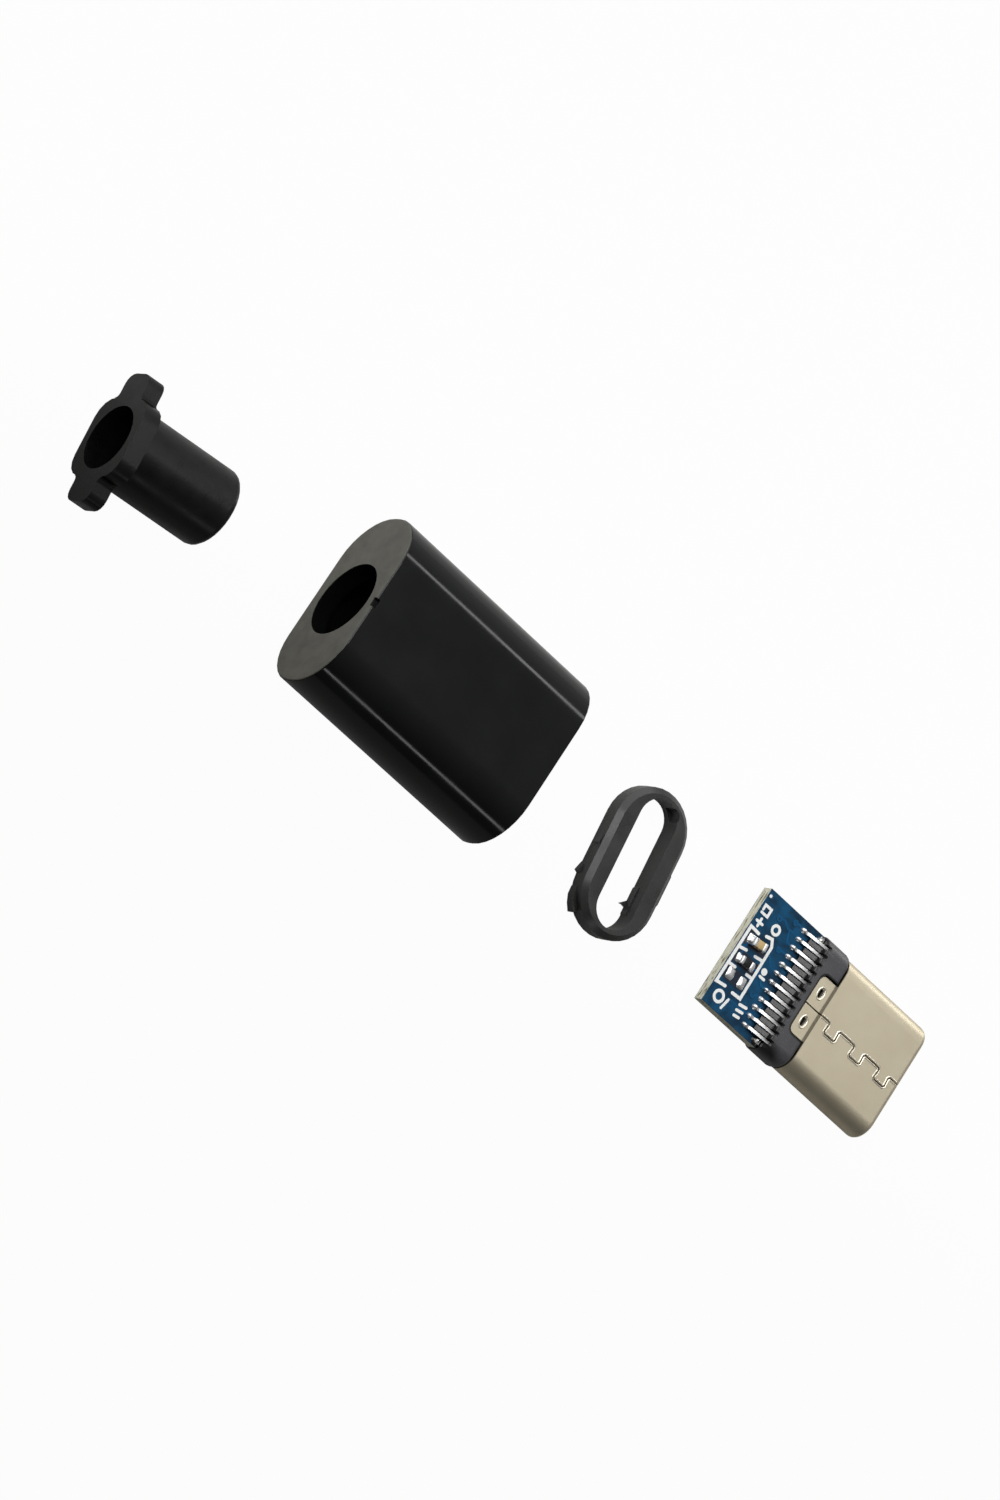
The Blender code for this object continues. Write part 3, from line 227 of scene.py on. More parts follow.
# One more lights the far side of the metal shell, and a small one the pieces' cable ends
shell_middle = block_rear + Vector((6.0, 0.0, 1.3)) * MM
add_lamp(
    "shell_lamp",
    (0.475, 0.87, 0.06),
    ALONG,
    width=0.009,
    length=0.034,
    strength=6.0,
    distance=0.075,
    centre=shell_middle,
)
add_lamp("end_lamp", (-0.74, 0.08, 0.66), UP, width=0.10, length=0.10, strength=8.0)

# Contacts. Strips stamped from copper alloy: gold plate where they touch the socket, bright tin
# on the tails that lie on the board and are soldered.
ROOT = "root"
CREASE = math.radians(32)
FACET_GAP = 0.0005 * MM


def round_edges(piece, radius):
    """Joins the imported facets, shades round surfaces evenly and takes the edge off the corners."""
    group = bpy.data.node_groups.get("joined_facets")
    if group is None:
        group = bpy.data.node_groups.new("joined_facets", "GeometryNodeTree")
        group.interface.new_socket("Geometry", in_out="INPUT", socket_type="NodeSocketGeometry")
        group.interface.new_socket("Geometry", in_out="OUTPUT", socket_type="NodeSocketGeometry")
        start = add_node(group, "NodeGroupInput")
        joined = add_node(
            group,
            "GeometryNodeMergeByDistance",
            {"Geometry": start.outputs[0], "Distance": FACET_GAP},
        )
        plain = add_node(
            group,
            "GeometryNodeRemoveAttribute",
            {"Geometry": joined.outputs[0], "Name": "custom_normal"},
        )
        smooth = add_node(
            group,
            "GeometryNodeSetShadeSmooth",
            {"Geometry": plain.outputs[0], "Shade Smooth": True},
            domain="FACE",
        )
        bend = add_node(group, "GeometryNodeInputMeshEdgeAngle")
        sharp = add_node(
            group,
            "FunctionNodeCompare",
            {0: bend.outputs["Unsigned Angle"], 1: CREASE},
            data_type="FLOAT",
            operation="GREATER_THAN",
        )
        creased = add_node(
            group,
            "GeometryNodeSetShadeSmooth",
            {"Geometry": smooth.outputs[0], "Selection": sharp.outputs[0], "Shade Smooth": False},
            domain="EDGE",
        )
        add_node(group, "NodeGroupOutput", {0: creased.outputs[0]})
    piece.modifiers.new("joined_facets", "NODES").node_group = group
    flat = piece.modifiers.new("whole_faces", "DECIMATE")
    flat.decimate_type = "DISSOLVE"
    flat.angle_limit = math.radians(0.5)
    edge = piece.modifiers.new("edge", "BEVEL")
    edge.width = radius
    edge.segments = 2
    edge.limit_method = "ANGLE"
    edge.angle_limit = CREASE
    piece.modifiers.new("even_normals", "WEIGHTED_NORMAL").keep_sharp = True


def dress(name, material, radius):
    """Gives a solid of the plug its finish."""
    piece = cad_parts[name]
    piece.material_slots[0].material = material
    round_edges(piece, radius)
    return piece


CONTACTS_PER_ROW = 12
TIN_END = block_rear.x + 0.30 * MM
GOLD_START = block_rear.x + 0.45 * MM
contact_plate, tree, shader = start_material(
    "gold_and_tin_plated_strip", Metallic=1.0, Roughness=0.30
)
place = add_node(tree, "ShaderNodeTexCoord")
axes = add_node(tree, "ShaderNodeSeparateXYZ", {0: place.outputs["Object"]})
ragged = add_node(
    tree, "ShaderNodeTexNoise", {"Vector": place.outputs["Object"], "Scale": 1 / (0.40 * MM)}
)
# The tin gives way to gold in a short blend inside the block
past = add_node(
    tree,
    "ShaderNodeMapRange",
    {"Value": axes.outputs["X"], "From Min": TIN_END, "From Max": GOLD_START},
)
plating = add_node(
    tree,
    "ShaderNodeMix",
    {"Factor": past.outputs[0], "A": linear("#e9e9ea"), "B": linear("#e3b765")},
    data_type="RGBA",
)
tarnish = add_node(
    tree,
    "ShaderNodeMix",
    {"Factor": ragged.outputs[0], "A": plating.outputs[2], "B": linear("#d8d7d4")},
    data_type="RGBA",
    blend_type="MULTIPLY",
)
tree.links.new(tarnish.outputs[2], shader.inputs["Base Color"])
for row in ("upper", "lower"):
    for number in range(1, CONTACTS_PER_ROW + 1):
        dress(f"{row}_contact_{number:02d}", contact_plate, 0.02 * MM)

# Contact block and mouth insulator. Dark glass-filled polymer, moulded round the contacts: half
# matt with pale flecks. Painted shade turns the comb and the right-hand side black, and there it is
# shinier.
BLOCK_LENGTH = 2.17 * MM
COMB_SHADE_EDGE = block_rear.x + 0.02 * MM
COMB_SHADE_FADE = 0.20 * MM
SIDE_SHADE_REACH = 1.7 * MM
SIDE_SHADE_FADE = 0.6 * MM
SIDE_SHADE_RAGGED = 1.2 * MM
glass_filled, tree, shader = start_material("glass_filled_moulding", IOR=1.55)
place = add_node(tree, "ShaderNodeTexCoord")
axes = add_node(tree, "ShaderNodeSeparateXYZ", {0: place.outputs["Object"]})
# The glass is drawn coarser than it is, so that it shows
fleck = add_node(
    tree,
    "ShaderNodeTexNoise",
    {"Vector": place.outputs["Object"], "Scale": 1 / (0.12 * MM), "Detail": 3.0},
)
cloud = add_node(
    tree, "ShaderNodeTexNoise", {"Vector": place.outputs["Object"], "Scale": 1 / (1.4 * MM)}
)
tone = add_node(
    tree,
    "ShaderNodeMix",
    {"Factor": cloud.outputs[0], "A": linear("#343436"), "B": linear("#4c4c4f")},
    data_type="RGBA",
)
flecked = add_node(
    tree,
    "ShaderNodeMapRange",
    {"Value": fleck.outputs[0], "From Min": 0.58, "From Max": 0.75, "To Max": 0.35},
)
tone = add_node(
    tree,
    "ShaderNodeMix",
    {"Factor": flecked.outputs[0], "A": tone.outputs[2], "B": linear("#77777a")},
    data_type="RGBA",
)
# Painted shade on the comb between the tails, from the block's rear face back
block_shade = add_node(
    tree,
    "ShaderNodeMapRange",
    {"Value": axes.outputs["X"], "From Min": COMB_SHADE_EDGE + COMB_SHADE_FADE, "From Max": COMB_SHADE_EDGE},
)
# Painted shade on the block's right-hand side near its rear corner, with a ragged edge
side_shade_place = Vector((block_rear.x + 0.4 * MM, block_low.y, (block_low.z + block_high.z) / 2))
side_shade_distance = add_node(
    tree,
    "ShaderNodeVectorMath",
    {0: place.outputs["Object"], 1: side_shade_place},
    operation="DISTANCE",
)
ragged = add_node(
    tree,
    "ShaderNodeMath",
    {0: cloud.outputs[0], 1: SIDE_SHADE_RAGGED, 2: side_shade_distance.outputs["Value"]},
    operation="MULTIPLY_ADD",
)
side_shade = add_node(
    tree,
    "ShaderNodeMapRange",
    {
        "Value": ragged.outputs[0],
        "From Min": SIDE_SHADE_REACH + SIDE_SHADE_FADE,
        "From Max": SIDE_SHADE_REACH,
        "To Max": 0.95,
    },
)
block_shade = add_node(
    tree, "ShaderNodeMath", {0: block_shade.outputs[0], 1: side_shade.outputs[0]}, operation="MAXIMUM"
)
# Painted shade darkens the rim of the window that the shell's two tabs lie in
WINDOW_SHADE_WIDTH = 0.18 * MM
WINDOW_SHADE_FADE = 0.06 * MM
TAB_LENGTH = 1.35 * MM
TABS_HALF_WIDTH = 2.045 * MM
TAB_CORNER = 0.35 * MM
tab_corners = Vector((TAB_LENGTH - TAB_CORNER, TABS_HALF_WIDTH - TAB_CORNER, 1.0))
offset = add_node(
    tree,
    "ShaderNodeVectorMath",
    {0: place.outputs["Object"], 1: (block_rear.x + BLOCK_LENGTH, block_rear.y, 0.0)},
    operation="SUBTRACT",
)
offset = add_node(tree, "ShaderNodeVectorMath", {0: offset.outputs[0]}, operation="ABSOLUTE")
offset = add_node(
    tree, "ShaderNodeVectorMath", {0: offset.outputs[0], 1: tab_corners}, operation="SUBTRACT"
)
offset = add_node(
    tree, "ShaderNodeVectorMath", {0: offset.outputs[0], 1: (0.0, 0.0, 0.0)}, operation="MAXIMUM"
)
offset = add_node(tree, "ShaderNodeVectorMath", {0: offset.outputs[0]}, operation="LENGTH")
window_shade = add_node(
    tree,
    "ShaderNodeMapRange",
    {
        "Value": offset.outputs["Value"],
        "From Min": TAB_CORNER + WINDOW_SHADE_WIDTH + WINDOW_SHADE_FADE,
        "From Max": TAB_CORNER + WINDOW_SHADE_WIDTH,
    },
)
block_shade = add_node(
    tree, "ShaderNodeMath", {0: block_shade.outputs[0], 1: window_shade.outputs[0]}, operation="MAXIMUM"
)
# Where the painted shade lies, the moulding turns near black
tone = add_node(
    tree,
    "ShaderNodeMix",
    {"Factor": block_shade.outputs[0], "A": tone.outputs[2], "B": linear("#0b0b0c")},
    data_type="RGBA",
)
shine = add_node(
    tree, "ShaderNodeMapRange", {"Value": block_shade.outputs[0], "To Min": 0.42, "To Max": 0.30}
)
relief = add_node(
    tree,
    "ShaderNodeBump",
    {"Strength": 0.35, "Distance": 0.012 * MM, "Height": fleck.outputs[0]},
)
tree.links.new(shine.outputs[0], shader.inputs["Roughness"])
tree.links.new(tone.outputs[2], shader.inputs["Base Color"])
tree.links.new(relief.outputs[0], shader.inputs["Normal"])
dress("contact_block", glass_filled, 0.03 * MM)
dress("front_insulator", glass_filled, 0.02 * MM)

# Latch plate and ground springs. Thin stainless strip, stamped and bent, and left bright as rolled,
# with the rolls' fine lines running along the plug.
spring_strip, tree, shader = start_material("bright_stainless_strip", Metallic=1.0, Roughness=0.26)
place = add_node(tree, "ShaderNodeTexCoord")
along = add_node(
    tree,
    "ShaderNodeMapping",
    {"Vector": place.outputs["Object"], "Scale": (1 / (2.0 * MM), 1 / (0.06 * MM), 1 / (0.06 * MM))},
)
lines = add_node(tree, "ShaderNodeTexNoise", {"Vector": along.outputs[0], "Scale": 1.0})
rolled = add_node(
    tree,
    "ShaderNodeMix",
    {"Factor": lines.outputs[0], "A": linear("#b9b8b4"), "B": linear("#dddcd8")},
    data_type="RGBA",
)
tree.links.new(rolled.outputs[2], shader.inputs["Base Color"])
for name in ("latch_plate", "upper_ground_spring", "lower_ground_spring"):
    dress(name, spring_strip, 0.02 * MM)

# Metal shell. One sheet of steel, drawn round and locked by its dovetail seam, then nickel
# plated: a warm satin metal, a little uneven where fingers and tools have been.
FOLD_X = block_rear.x + BLOCK_LENGTH - 0.04 * MM
FOLD_SHADE_HALF = 0.05 * MM
FOLD_SHADE_FADE = 0.07 * MM
TAB_TOP = 1.10 * MM
DIMPLE_SHADE_TOP = TAB_TOP - 0.07 * MM
DIMPLE_SHADE_FULL = TAB_TOP - 0.11 * MM
RIM_HIGHLIGHT_TOP = TAB_TOP - 0.001 * MM
RIM_HIGHLIGHT_FULL = TAB_TOP - 0.015 * MM
nickel, tree, shader = start_material("satin_nickel_plate", Metallic=1.0)
place = add_node(tree, "ShaderNodeTexCoord")
cloud = add_node(
    tree,
    "ShaderNodeTexNoise",
    {"Vector": place.outputs["Object"], "Scale": 1 / (2.2 * MM), "Detail": 3.0},
)
# The satin's grain is drawn coarser than it is, so that it shows
grain = add_node(
    tree,
    "ShaderNodeTexNoise",
    {"Vector": place.outputs["Object"], "Scale": 1 / (0.10 * MM), "Detail": 4.0},
)
tone = add_node(
    tree,
    "ShaderNodeMix",
    {"Factor": cloud.outputs[0], "A": linear("#d3c7ad"), "B": linear("#e0d7bf")},
    data_type="RGBA",
)
worn = add_node(
    tree,
    "ShaderNodeMapRange",
    {"Value": grain.outputs[0], "From Min": 0.3, "From Max": 0.7, "To Min": 0.42, "To Max": 0.50},
)
relief = add_node(
    tree,
    "ShaderNodeBump",
    {"Strength": 0.15, "Distance": 0.005 * MM, "Height": grain.outputs[0]},
)
# Painted shade darkens the fold where the tabs leave the sheet and the tabs' dimples
shell_low, shell_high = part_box("metal_shell")
axes = add_node(tree, "ShaderNodeSeparateXYZ", {0: place.outputs["Object"]})
from_fold = add_node(
    tree, "ShaderNodeMath", {0: axes.outputs["X"], 1: FOLD_X}, operation="SUBTRACT"
)
off_fold = add_node(tree, "ShaderNodeMath", {0: from_fold.outputs[0]}, operation="ABSOLUTE")
fold_shade = add_node(
    tree,
    "ShaderNodeMapRange",
    {
        "Value": off_fold.outputs[0],
        "From Min": FOLD_SHADE_HALF + FOLD_SHADE_FADE,
        "From Max": FOLD_SHADE_HALF,
        "To Max": 0.88,
    },
)
on_tab = add_node(
    tree, "ShaderNodeMath", {0: from_fold.outputs[0], 1: 0.0}, operation="LESS_THAN"
)
height = add_node(
    tree,
    "ShaderNodeMath",
    {0: axes.outputs["Z"], 1: (shell_low.z + shell_high.z) / 2},
    operation="SUBTRACT",
)
height = add_node(tree, "ShaderNodeMath", {0: height.outputs[0]}, operation="ABSOLUTE")
dimple_shade = add_node(
    tree,
    "ShaderNodeMapRange",
    {"Value": height.outputs[0], "From Min": DIMPLE_SHADE_TOP, "From Max": DIMPLE_SHADE_FULL, "To Max": 0.92},
)
dimple_shade = add_node(
    tree, "ShaderNodeMath", {0: dimple_shade.outputs[0], 1: on_tab.outputs[0]}, operation="MULTIPLY"
)
# A painted highlight brightens the edges pressed down below the tabs' tops
rim_highlight = add_node(
    tree,
    "ShaderNodeMapRange",
    {"Value": height.outputs[0], "From Min": RIM_HIGHLIGHT_TOP, "From Max": RIM_HIGHLIGHT_FULL, "To Max": 0.8},
)
rim_highlight = add_node(
    tree, "ShaderNodeMath", {0: rim_highlight.outputs[0], 1: on_tab.outputs[0]}, operation="MULTIPLY"
)
# The painted highlight is a near-white nickel
tone = add_node(
    tree,
    "ShaderNodeMix",
    {"Factor": rim_highlight.outputs[0], "A": tone.outputs[2], "B": linear("#fffaec")},
    data_type="RGBA",
)
shell_shade = add_node(
    tree, "ShaderNodeMath", {0: fold_shade.outputs[0], 1: dimple_shade.outputs[0]}, operation="MAXIMUM"
)
# The painted shade is a dark brown-grey
tone = add_node(
    tree,
    "ShaderNodeMix",
    {"Factor": shell_shade.outputs[0], "A": tone.outputs[2], "B": linear("#2e2a22")},
    data_type="RGBA",
)
tree.links.new(tone.outputs[2], shader.inputs["Base Color"])
tree.links.new(worn.outputs[0], shader.inputs["Roughness"])
tree.links.new(relief.outputs[0], shader.inputs["Normal"])
dress("metal_shell", nickel, 0.06 * MM)

# Seam ridges. Where the seam's teeth were pressed shut, the sheet rose on both sides of the gap
# in a narrow ridge. The ridges are in a paler nickel than the shell, a painted highlight.
highlight_nickel, tree, shader = start_material("painted_highlight_nickel_plate", Metallic=1.0, Roughness=0.30)
place = add_node(tree, "ShaderNodeTexCoord")
streak = add_node(
    tree, "ShaderNodeTexNoise", {"Vector": place.outputs["Object"], "Scale": 1 / (0.6 * MM)}
)
tone = add_node(
    tree,
    "ShaderNodeMix",
    {"Factor": streak.outputs[0], "A": linear("#e6dcc4"), "B": linear("#fdf8ea")},
    data_type="RGBA",
)
tree.links.new(tone.outputs[2], shader.inputs["Base Color"])


def add_piece(name, shape, material, crease=35):
    """A new piece on the plug's one body; edges that bend by more degrees than crease are sharp."""
    bmesh.ops.recalc_face_normals(shape, faces=shape.faces)
    made = bpy.data.meshes.new(name)
    shape.to_mesh(made)
    shape.free()
    made.materials.append(material)
    made.shade_smooth()
    made.set_sharp_from_angle(angle=math.radians(crease))
    piece = bpy.data.objects.new(name, made)
    scene.collection.objects.link(piece)
    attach(piece, ROOT)
    return piece


def join_rows(shape, rows):
    """Faces between each closed row of points and the next."""
    for near, far in zip(rows, rows[1:]):
        for i in range(len(near)):
            shape.faces.new((near[i - 1], near[i], far[i], far[i - 1]))


def sideways(path, i):
    """The step to the left at one point of a path that keeps a line along it evenly wide."""
    before = (path[i] - path[i - 1]).normalized() if i else None
    after = (path[i + 1] - path[i]).normalized() if i + 1 < len(path) else None
    before, after = before or after, after or before
    normal = Vector((-before.y - after.y, before.x + after.x)).normalized()
    return normal / max(normal.dot(Vector((-before.y, before.x))), 0.4)


# The seam's course from the tabs to the mouth, in millimetres ahead of the block
SEAM_REAR = 0.14
SEAM_START = 0.92
SEAM_TEETH = 3
SEAM_TOOTH = 0.90
SEAM_REACH = 0.75
SEAM_FLARE = 0.07
SEAM_CORNER = 0.12
SEAM_PERIOD = 2.42
SEAM_FRONT = 7.35
RIDGE_PROFILE = ((0.045, -0.010), (0.065, 0.018), (0.095, 0.028), (0.125, 0.018), (0.150, -0.010))
RIDGE_CREASE = 50
seam = [Vector((SEAM_REAR, 0.0))]
for tooth in range(SEAM_TEETH):
    start = SEAM_START + tooth * SEAM_PERIOD
    end = start + SEAM_TOOTH
    corners = (
        Vector((start, 0.0)),
        Vector((start - SEAM_FLARE, -SEAM_REACH)),
        Vector((end + SEAM_FLARE, -SEAM_REACH)),
        Vector((end, 0.0)),
    )
    around = (seam[-1], *corners, Vector((end + SEAM_TOOTH, 0.0)))
    for before, corner, after in zip(around, corners, around[2:]):
        for neighbour in (before, after):
            seam.append(corner + SEAM_CORNER * (neighbour - corner).normalized())
seam.append(Vector((SEAM_FRONT, 0.0)))
seam_origin = Vector((block_rear.x + BLOCK_LENGTH, block_rear.y, shell_high.z))
shape = bmesh.new()
for side in (1, -1):
    rows = []
    for i, point in enumerate(seam):
        row = []
        for reach, rise in RIDGE_PROFILE:
            spot = point + side * reach * sideways(seam, i)
            row.append(shape.verts.new(seam_origin + Vector((*spot, rise)) * MM))
        rows.append(row)
    join_rows(shape, rows)
    shape.faces.new(rows[0])
    shape.faces.new(rows[-1])
add_piece("seam_ridges", shape, highlight_nickel, RIDGE_CREASE)

# Dimple rims. Round each dimple in the shell's tabs the punch threw up a low rounded rim, in the
# seam ridges' paler nickel, a painted highlight.
DIMPLE_X = 1.445
DIMPLE_Y = 1.045
DIMPLE_HALF_WIDTH = 0.225
DIMPLE_HALF_LENGTH = 0.38
RIM_STEPS = 28
RIM_PROFILE = ((-0.010, -0.020), (0.010, 0.012), (0.040, 0.026), (0.075, 0.018), (0.105, -0.010))
shell_centre = Vector((block_rear.x, block_rear.y, (shell_low.z + shell_high.z) / 2))
shape = bmesh.new()
for side in (1, -1):
    for level in (1, -1):
        rows = []
        for reach, rise in RIM_PROFILE:
            row = []
            for step in range(RIM_STEPS):
                angle = 2 * math.pi * step / RIM_STEPS
                x = DIMPLE_X + (DIMPLE_HALF_WIDTH + reach) * math.cos(angle)
                y = side * DIMPLE_Y + (DIMPLE_HALF_LENGTH + reach) * math.sin(angle)
                spot = Vector((x * MM, y * MM, level * (TAB_TOP + rise * MM)))
                row.append(shape.verts.new(shell_centre + spot))
            rows.append(row)
        join_rows(shape, rows + rows[:1])
add_piece("dimple_rims", shape, highlight_nickel, RIDGE_CREASE)

# Circuit board. Glass cloth in epoxy, sawn to size, with blue lacquer above and below: glossy
# and uneven in depth over the copper, with the pale cloth bare on the sawn edges.
board_low, board_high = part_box("circuit_board")
LACQUER_DEPTH = 0.03 * MM
board_lacquer, tree, shader = start_material(
    "blue_lacquered_laminate", IOR=1.5, Specular_IOR_Level=0.28
)
place = add_node(tree, "ShaderNodeTexCoord")
axes = add_node(tree, "ShaderNodeSeparateXYZ", {0: place.outputs["Object"]})
cloud = add_node(
    tree,
    "ShaderNodeTexNoise",
    {"Vector": place.outputs["Object"], "Scale": 1 / (1.1 * MM), "Detail": 4.0, "Distortion": 0.6},
)
spread = add_node(
    tree,
    "ShaderNodeMapRange",
    {"Value": cloud.outputs[0], "From Min": 0.35, "From Max": 0.68},
)
lacquer = add_node(
    tree,
    "ShaderNodeMix",
    {"Factor": spread.outputs[0], "A": linear("#002840"), "B": linear("#02496e")},
    data_type="RGBA",
)
# The cloth's layers lie about 0.2 mm apart and show as broken brown and white lines on the edges
layers = add_node(
    tree,
    "ShaderNodeMapping",
    {
        "Vector": place.outputs["Object"],
        "Scale": (1 / (0.9 * MM), 1 / (0.9 * MM), 1 / (0.16 * MM)),
    },
)
cloth = add_node(
    tree, "ShaderNodeTexNoise", {"Vector": layers.outputs[0], "Scale": 1.0, "Detail": 3.0}
)
edge_tone = add_node(tree, "ShaderNodeValToRGB", {"Fac": cloth.outputs[0]})
edge_tone.color_ramp.elements[0].position = 0.36
edge_tone.color_ramp.elements[0].color = linear("#7d7a66")
edge_tone.color_ramp.elements[1].position = 0.46
edge_tone.color_ramp.elements[1].color = linear("#dedcc8")
middle = (board_low.z + board_high.z) / 2
from_middle = add_node(
    tree, "ShaderNodeMath", {0: axes.outputs["Z"], 1: middle}, operation="SUBTRACT"
)
from_middle = add_node(tree, "ShaderNodeMath", {0: from_middle.outputs[0]}, operation="ABSOLUTE")
on_face = add_node(
    tree,
    "ShaderNodeMath",
    {0: from_middle.outputs[0], 1: board_high.z - middle - LACQUER_DEPTH},
    operation="GREATER_THAN",
)
surface = add_node(
    tree,
    "ShaderNodeMix",
    {"Factor": on_face.outputs[0], "A": edge_tone.outputs[0], "B": lacquer.outputs[2]},
    data_type="RGBA",
)
polish = add_node(
    tree,
    "ShaderNodeMapRange",
    {"Value": on_face.outputs[0], "To Min": 0.75, "To Max": 0.28},
)
relief = add_node(
    tree,
    "ShaderNodeBump",
    {"Strength": 0.4, "Distance": 0.02 * MM, "Height": cloth.outputs[0]},
)
tree.links.new(surface.outputs[2], shader.inputs["Base Color"])
tree.links.new(polish.outputs[0], shader.inputs["Roughness"])
tree.links.new(relief.outputs[0], shader.inputs["Normal"])
dress("circuit_board", board_lacquer, 0.02 * MM)

# Tracks and vias. Etched copper under the lacquer, which stands up over it in low ridges of a
# lighter blue.
TRACK_WIDTH = 0.15
TRACK_RISE = 0.010
TRACK_STEP = 0.003
VIA_RADIUS = 0.21
VIA_HOLE = 0.09
VIA_RISE = 0.025
DISC_HOLE = 0.01
LINE_END_STEPS = 6


def on_board(x, y):
    """A place on the board's upper face, in millimetres ahead of and left of the block's rear."""
    return Vector((block_rear.x + x * MM, block_rear.y + y * MM, board_high.z))


def add_plate(shape, outline, low, high):
    """A flat closed plate with this outline of (x, y) in metres."""
    bottom = [shape.verts.new((x, y, low)) for x, y in outline]
    top = [shape.verts.new((x, y, high)) for x, y in outline]
    shape.faces.new(bottom)
    shape.faces.new(top)
    for i in range(len(outline)):
        shape.faces.new((bottom[i - 1], bottom[i], top[i], top[i - 1]))


def add_line(shape, points, width, rise):
    """A raised line with round ends on the board, through points in millimetres."""
    path = [on_board(x, y).xy for x, y in points]
    half = width * MM / 2
    left = [point + half * sideways(path, i) for i, point in enumerate(path)]
    right = [point - half * sideways(path, i) for i, point in enumerate(path)]
    outline = []
    for end, inner, edge in ((path[-1], path[-2], left), (path[0], path[1], right[::-1])):
        outline += edge
        out = math.atan2(end.y - inner.y, end.x - inner.x)
        for step in range(1, LINE_END_STEPS):
            angle = out + math.pi / 2 - math.pi * step / LINE_END_STEPS
            outline.append(end + half * Vector((math.cos(angle), math.sin(angle))))
    spots = [tuple(point) for point in outline]
    add_plate(shape, spots, board_high.z, board_high.z + rise * MM)


def add_ring(shape, centre, outer, inner, rise, steps=24):
    """A raised flat ring or, with no hole, a disc on the board."""
    middle = on_board(*centre)
    rows = []
    for radius, level in ((inner, 0.0), (outer, 0.0), (outer, rise), (inner, rise)):
        row = []
        for step in range(steps):
            angle = 2 * math.pi * step / steps
            spot = Vector((radius * math.cos(angle), radius * math.sin(angle), level)) * MM
            row.append(shape.verts.new(middle + spot))
        rows.append(row)
    join_rows(shape, rows + rows[:1])


track_lacquer, tree, shader = start_material(
    "blue_lacquer_over_copper", Roughness=0.25, IOR=1.5, Specular_IOR_Level=0.28
)
place = add_node(tree, "ShaderNodeTexCoord")
cloud = add_node(
    tree, "ShaderNodeTexNoise", {"Vector": place.outputs["Object"], "Scale": 1 / (0.5 * MM)}
)
tone = add_node(
    tree,
    "ShaderNodeMix",
    {"Factor": cloud.outputs[0], "A": linear("#033f62"), "B": linear("#085884")},
    data_type="RGBA",
)
tree.links.new(tone.outputs[2], shader.inputs["Base Color"])
tracks = (
    ((-1.75, 3.59), (-2.1, 3.59), (-2.4, 3.52)),
    ((-1.75, 2.93), (-2.7, 2.93), (-3.1, 3.15), (-3.56, 3.10)),
    ((-1.72, 2.22), (-2.2, 2.22), (-2.5, 2.9)),
    ((-1.70, 1.59), (-2.1, 1.59), (-2.42, 1.50)),
    ((-1.66, 0.32), (-2.2, 0.32), (-2.75, 0.85), (-3.2, 0.85)),
    ((-1.62, -0.95), (-2.1, -0.95), (-2.6, -0.5), (-3.2, -0.5)),
    ((-1.60, -1.60), (-2.0, -1.60), (-2.28, -1.74)),
    ((-1.58, -2.85), (-2.6, -2.95), (-3.6, -2.95)),
    ((-4.55, 0.85), (-4.55, 0.2), (-4.55, -0.5)),
)
# Neighbours differ a little in height, so that no two tops coincide
shape = bmesh.new()
for i, track in enumerate(tracks):
    add_line(shape, track, TRACK_WIDTH, TRACK_RISE + TRACK_STEP * (i % 3))
VIAS = ((-2.40, 3.52), (-2.28, -1.74), (-3.56, 3.02), (-2.42, 1.50))
for via in VIAS:
    add_ring(shape, via, VIA_RADIUS, VIA_HOLE, VIA_RISE)
add_piece("copper_tracks", shape, track_lacquer)

# Bare laminate, dark with flux, shows in the vias and round the pads where the lacquer stops short
via_dark, tree, shader = start_material("lacquer_filled_via", Roughness=0.3, IOR=1.5)
place = add_node(tree, "ShaderNodeTexCoord")
stain = add_node(
    tree, "ShaderNodeTexNoise", {"Vector": place.outputs["Object"], "Scale": 1 / (0.30 * MM)}
)
tone = add_node(
    tree,
    "ShaderNodeMix",
    {"Factor": stain.outputs[0], "A": linear("#020f1f"), "B": linear("#051d36")},
    data_type="RGBA",
)
tree.links.new(tone.outputs[2], shader.inputs["Base Color"])
CHIP_SIDES = (0.82, -0.52, -1.68)
BARE_PATCH = ((-4.86, -0.50), (-3.02, -0.44), (-3.02, 0.44), (-4.86, 0.50))
BARE_RISE = 0.006 * MM
shape = bmesh.new()
for via in VIAS:
    add_ring(shape, via, outer=VIA_HOLE, inner=DISC_HOLE, rise=0.008, steps=16)
for side in CHIP_SIDES:
    outline = [tuple(on_board(x, side + y).xy) for x, y in BARE_PATCH]
    add_plate(shape, outline, board_high.z, board_high.z + BARE_RISE)
add_piece("bare_laminate", shape, via_dark)

# Print. White ink, screened on the lacquer through a mesh that leaves it slightly uneven: two
# brackets round the chip places, and plain marks beside them.
ink, tree, shader = start_material("screened_white_ink", Roughness=0.55)
place = add_node(tree, "ShaderNodeTexCoord")
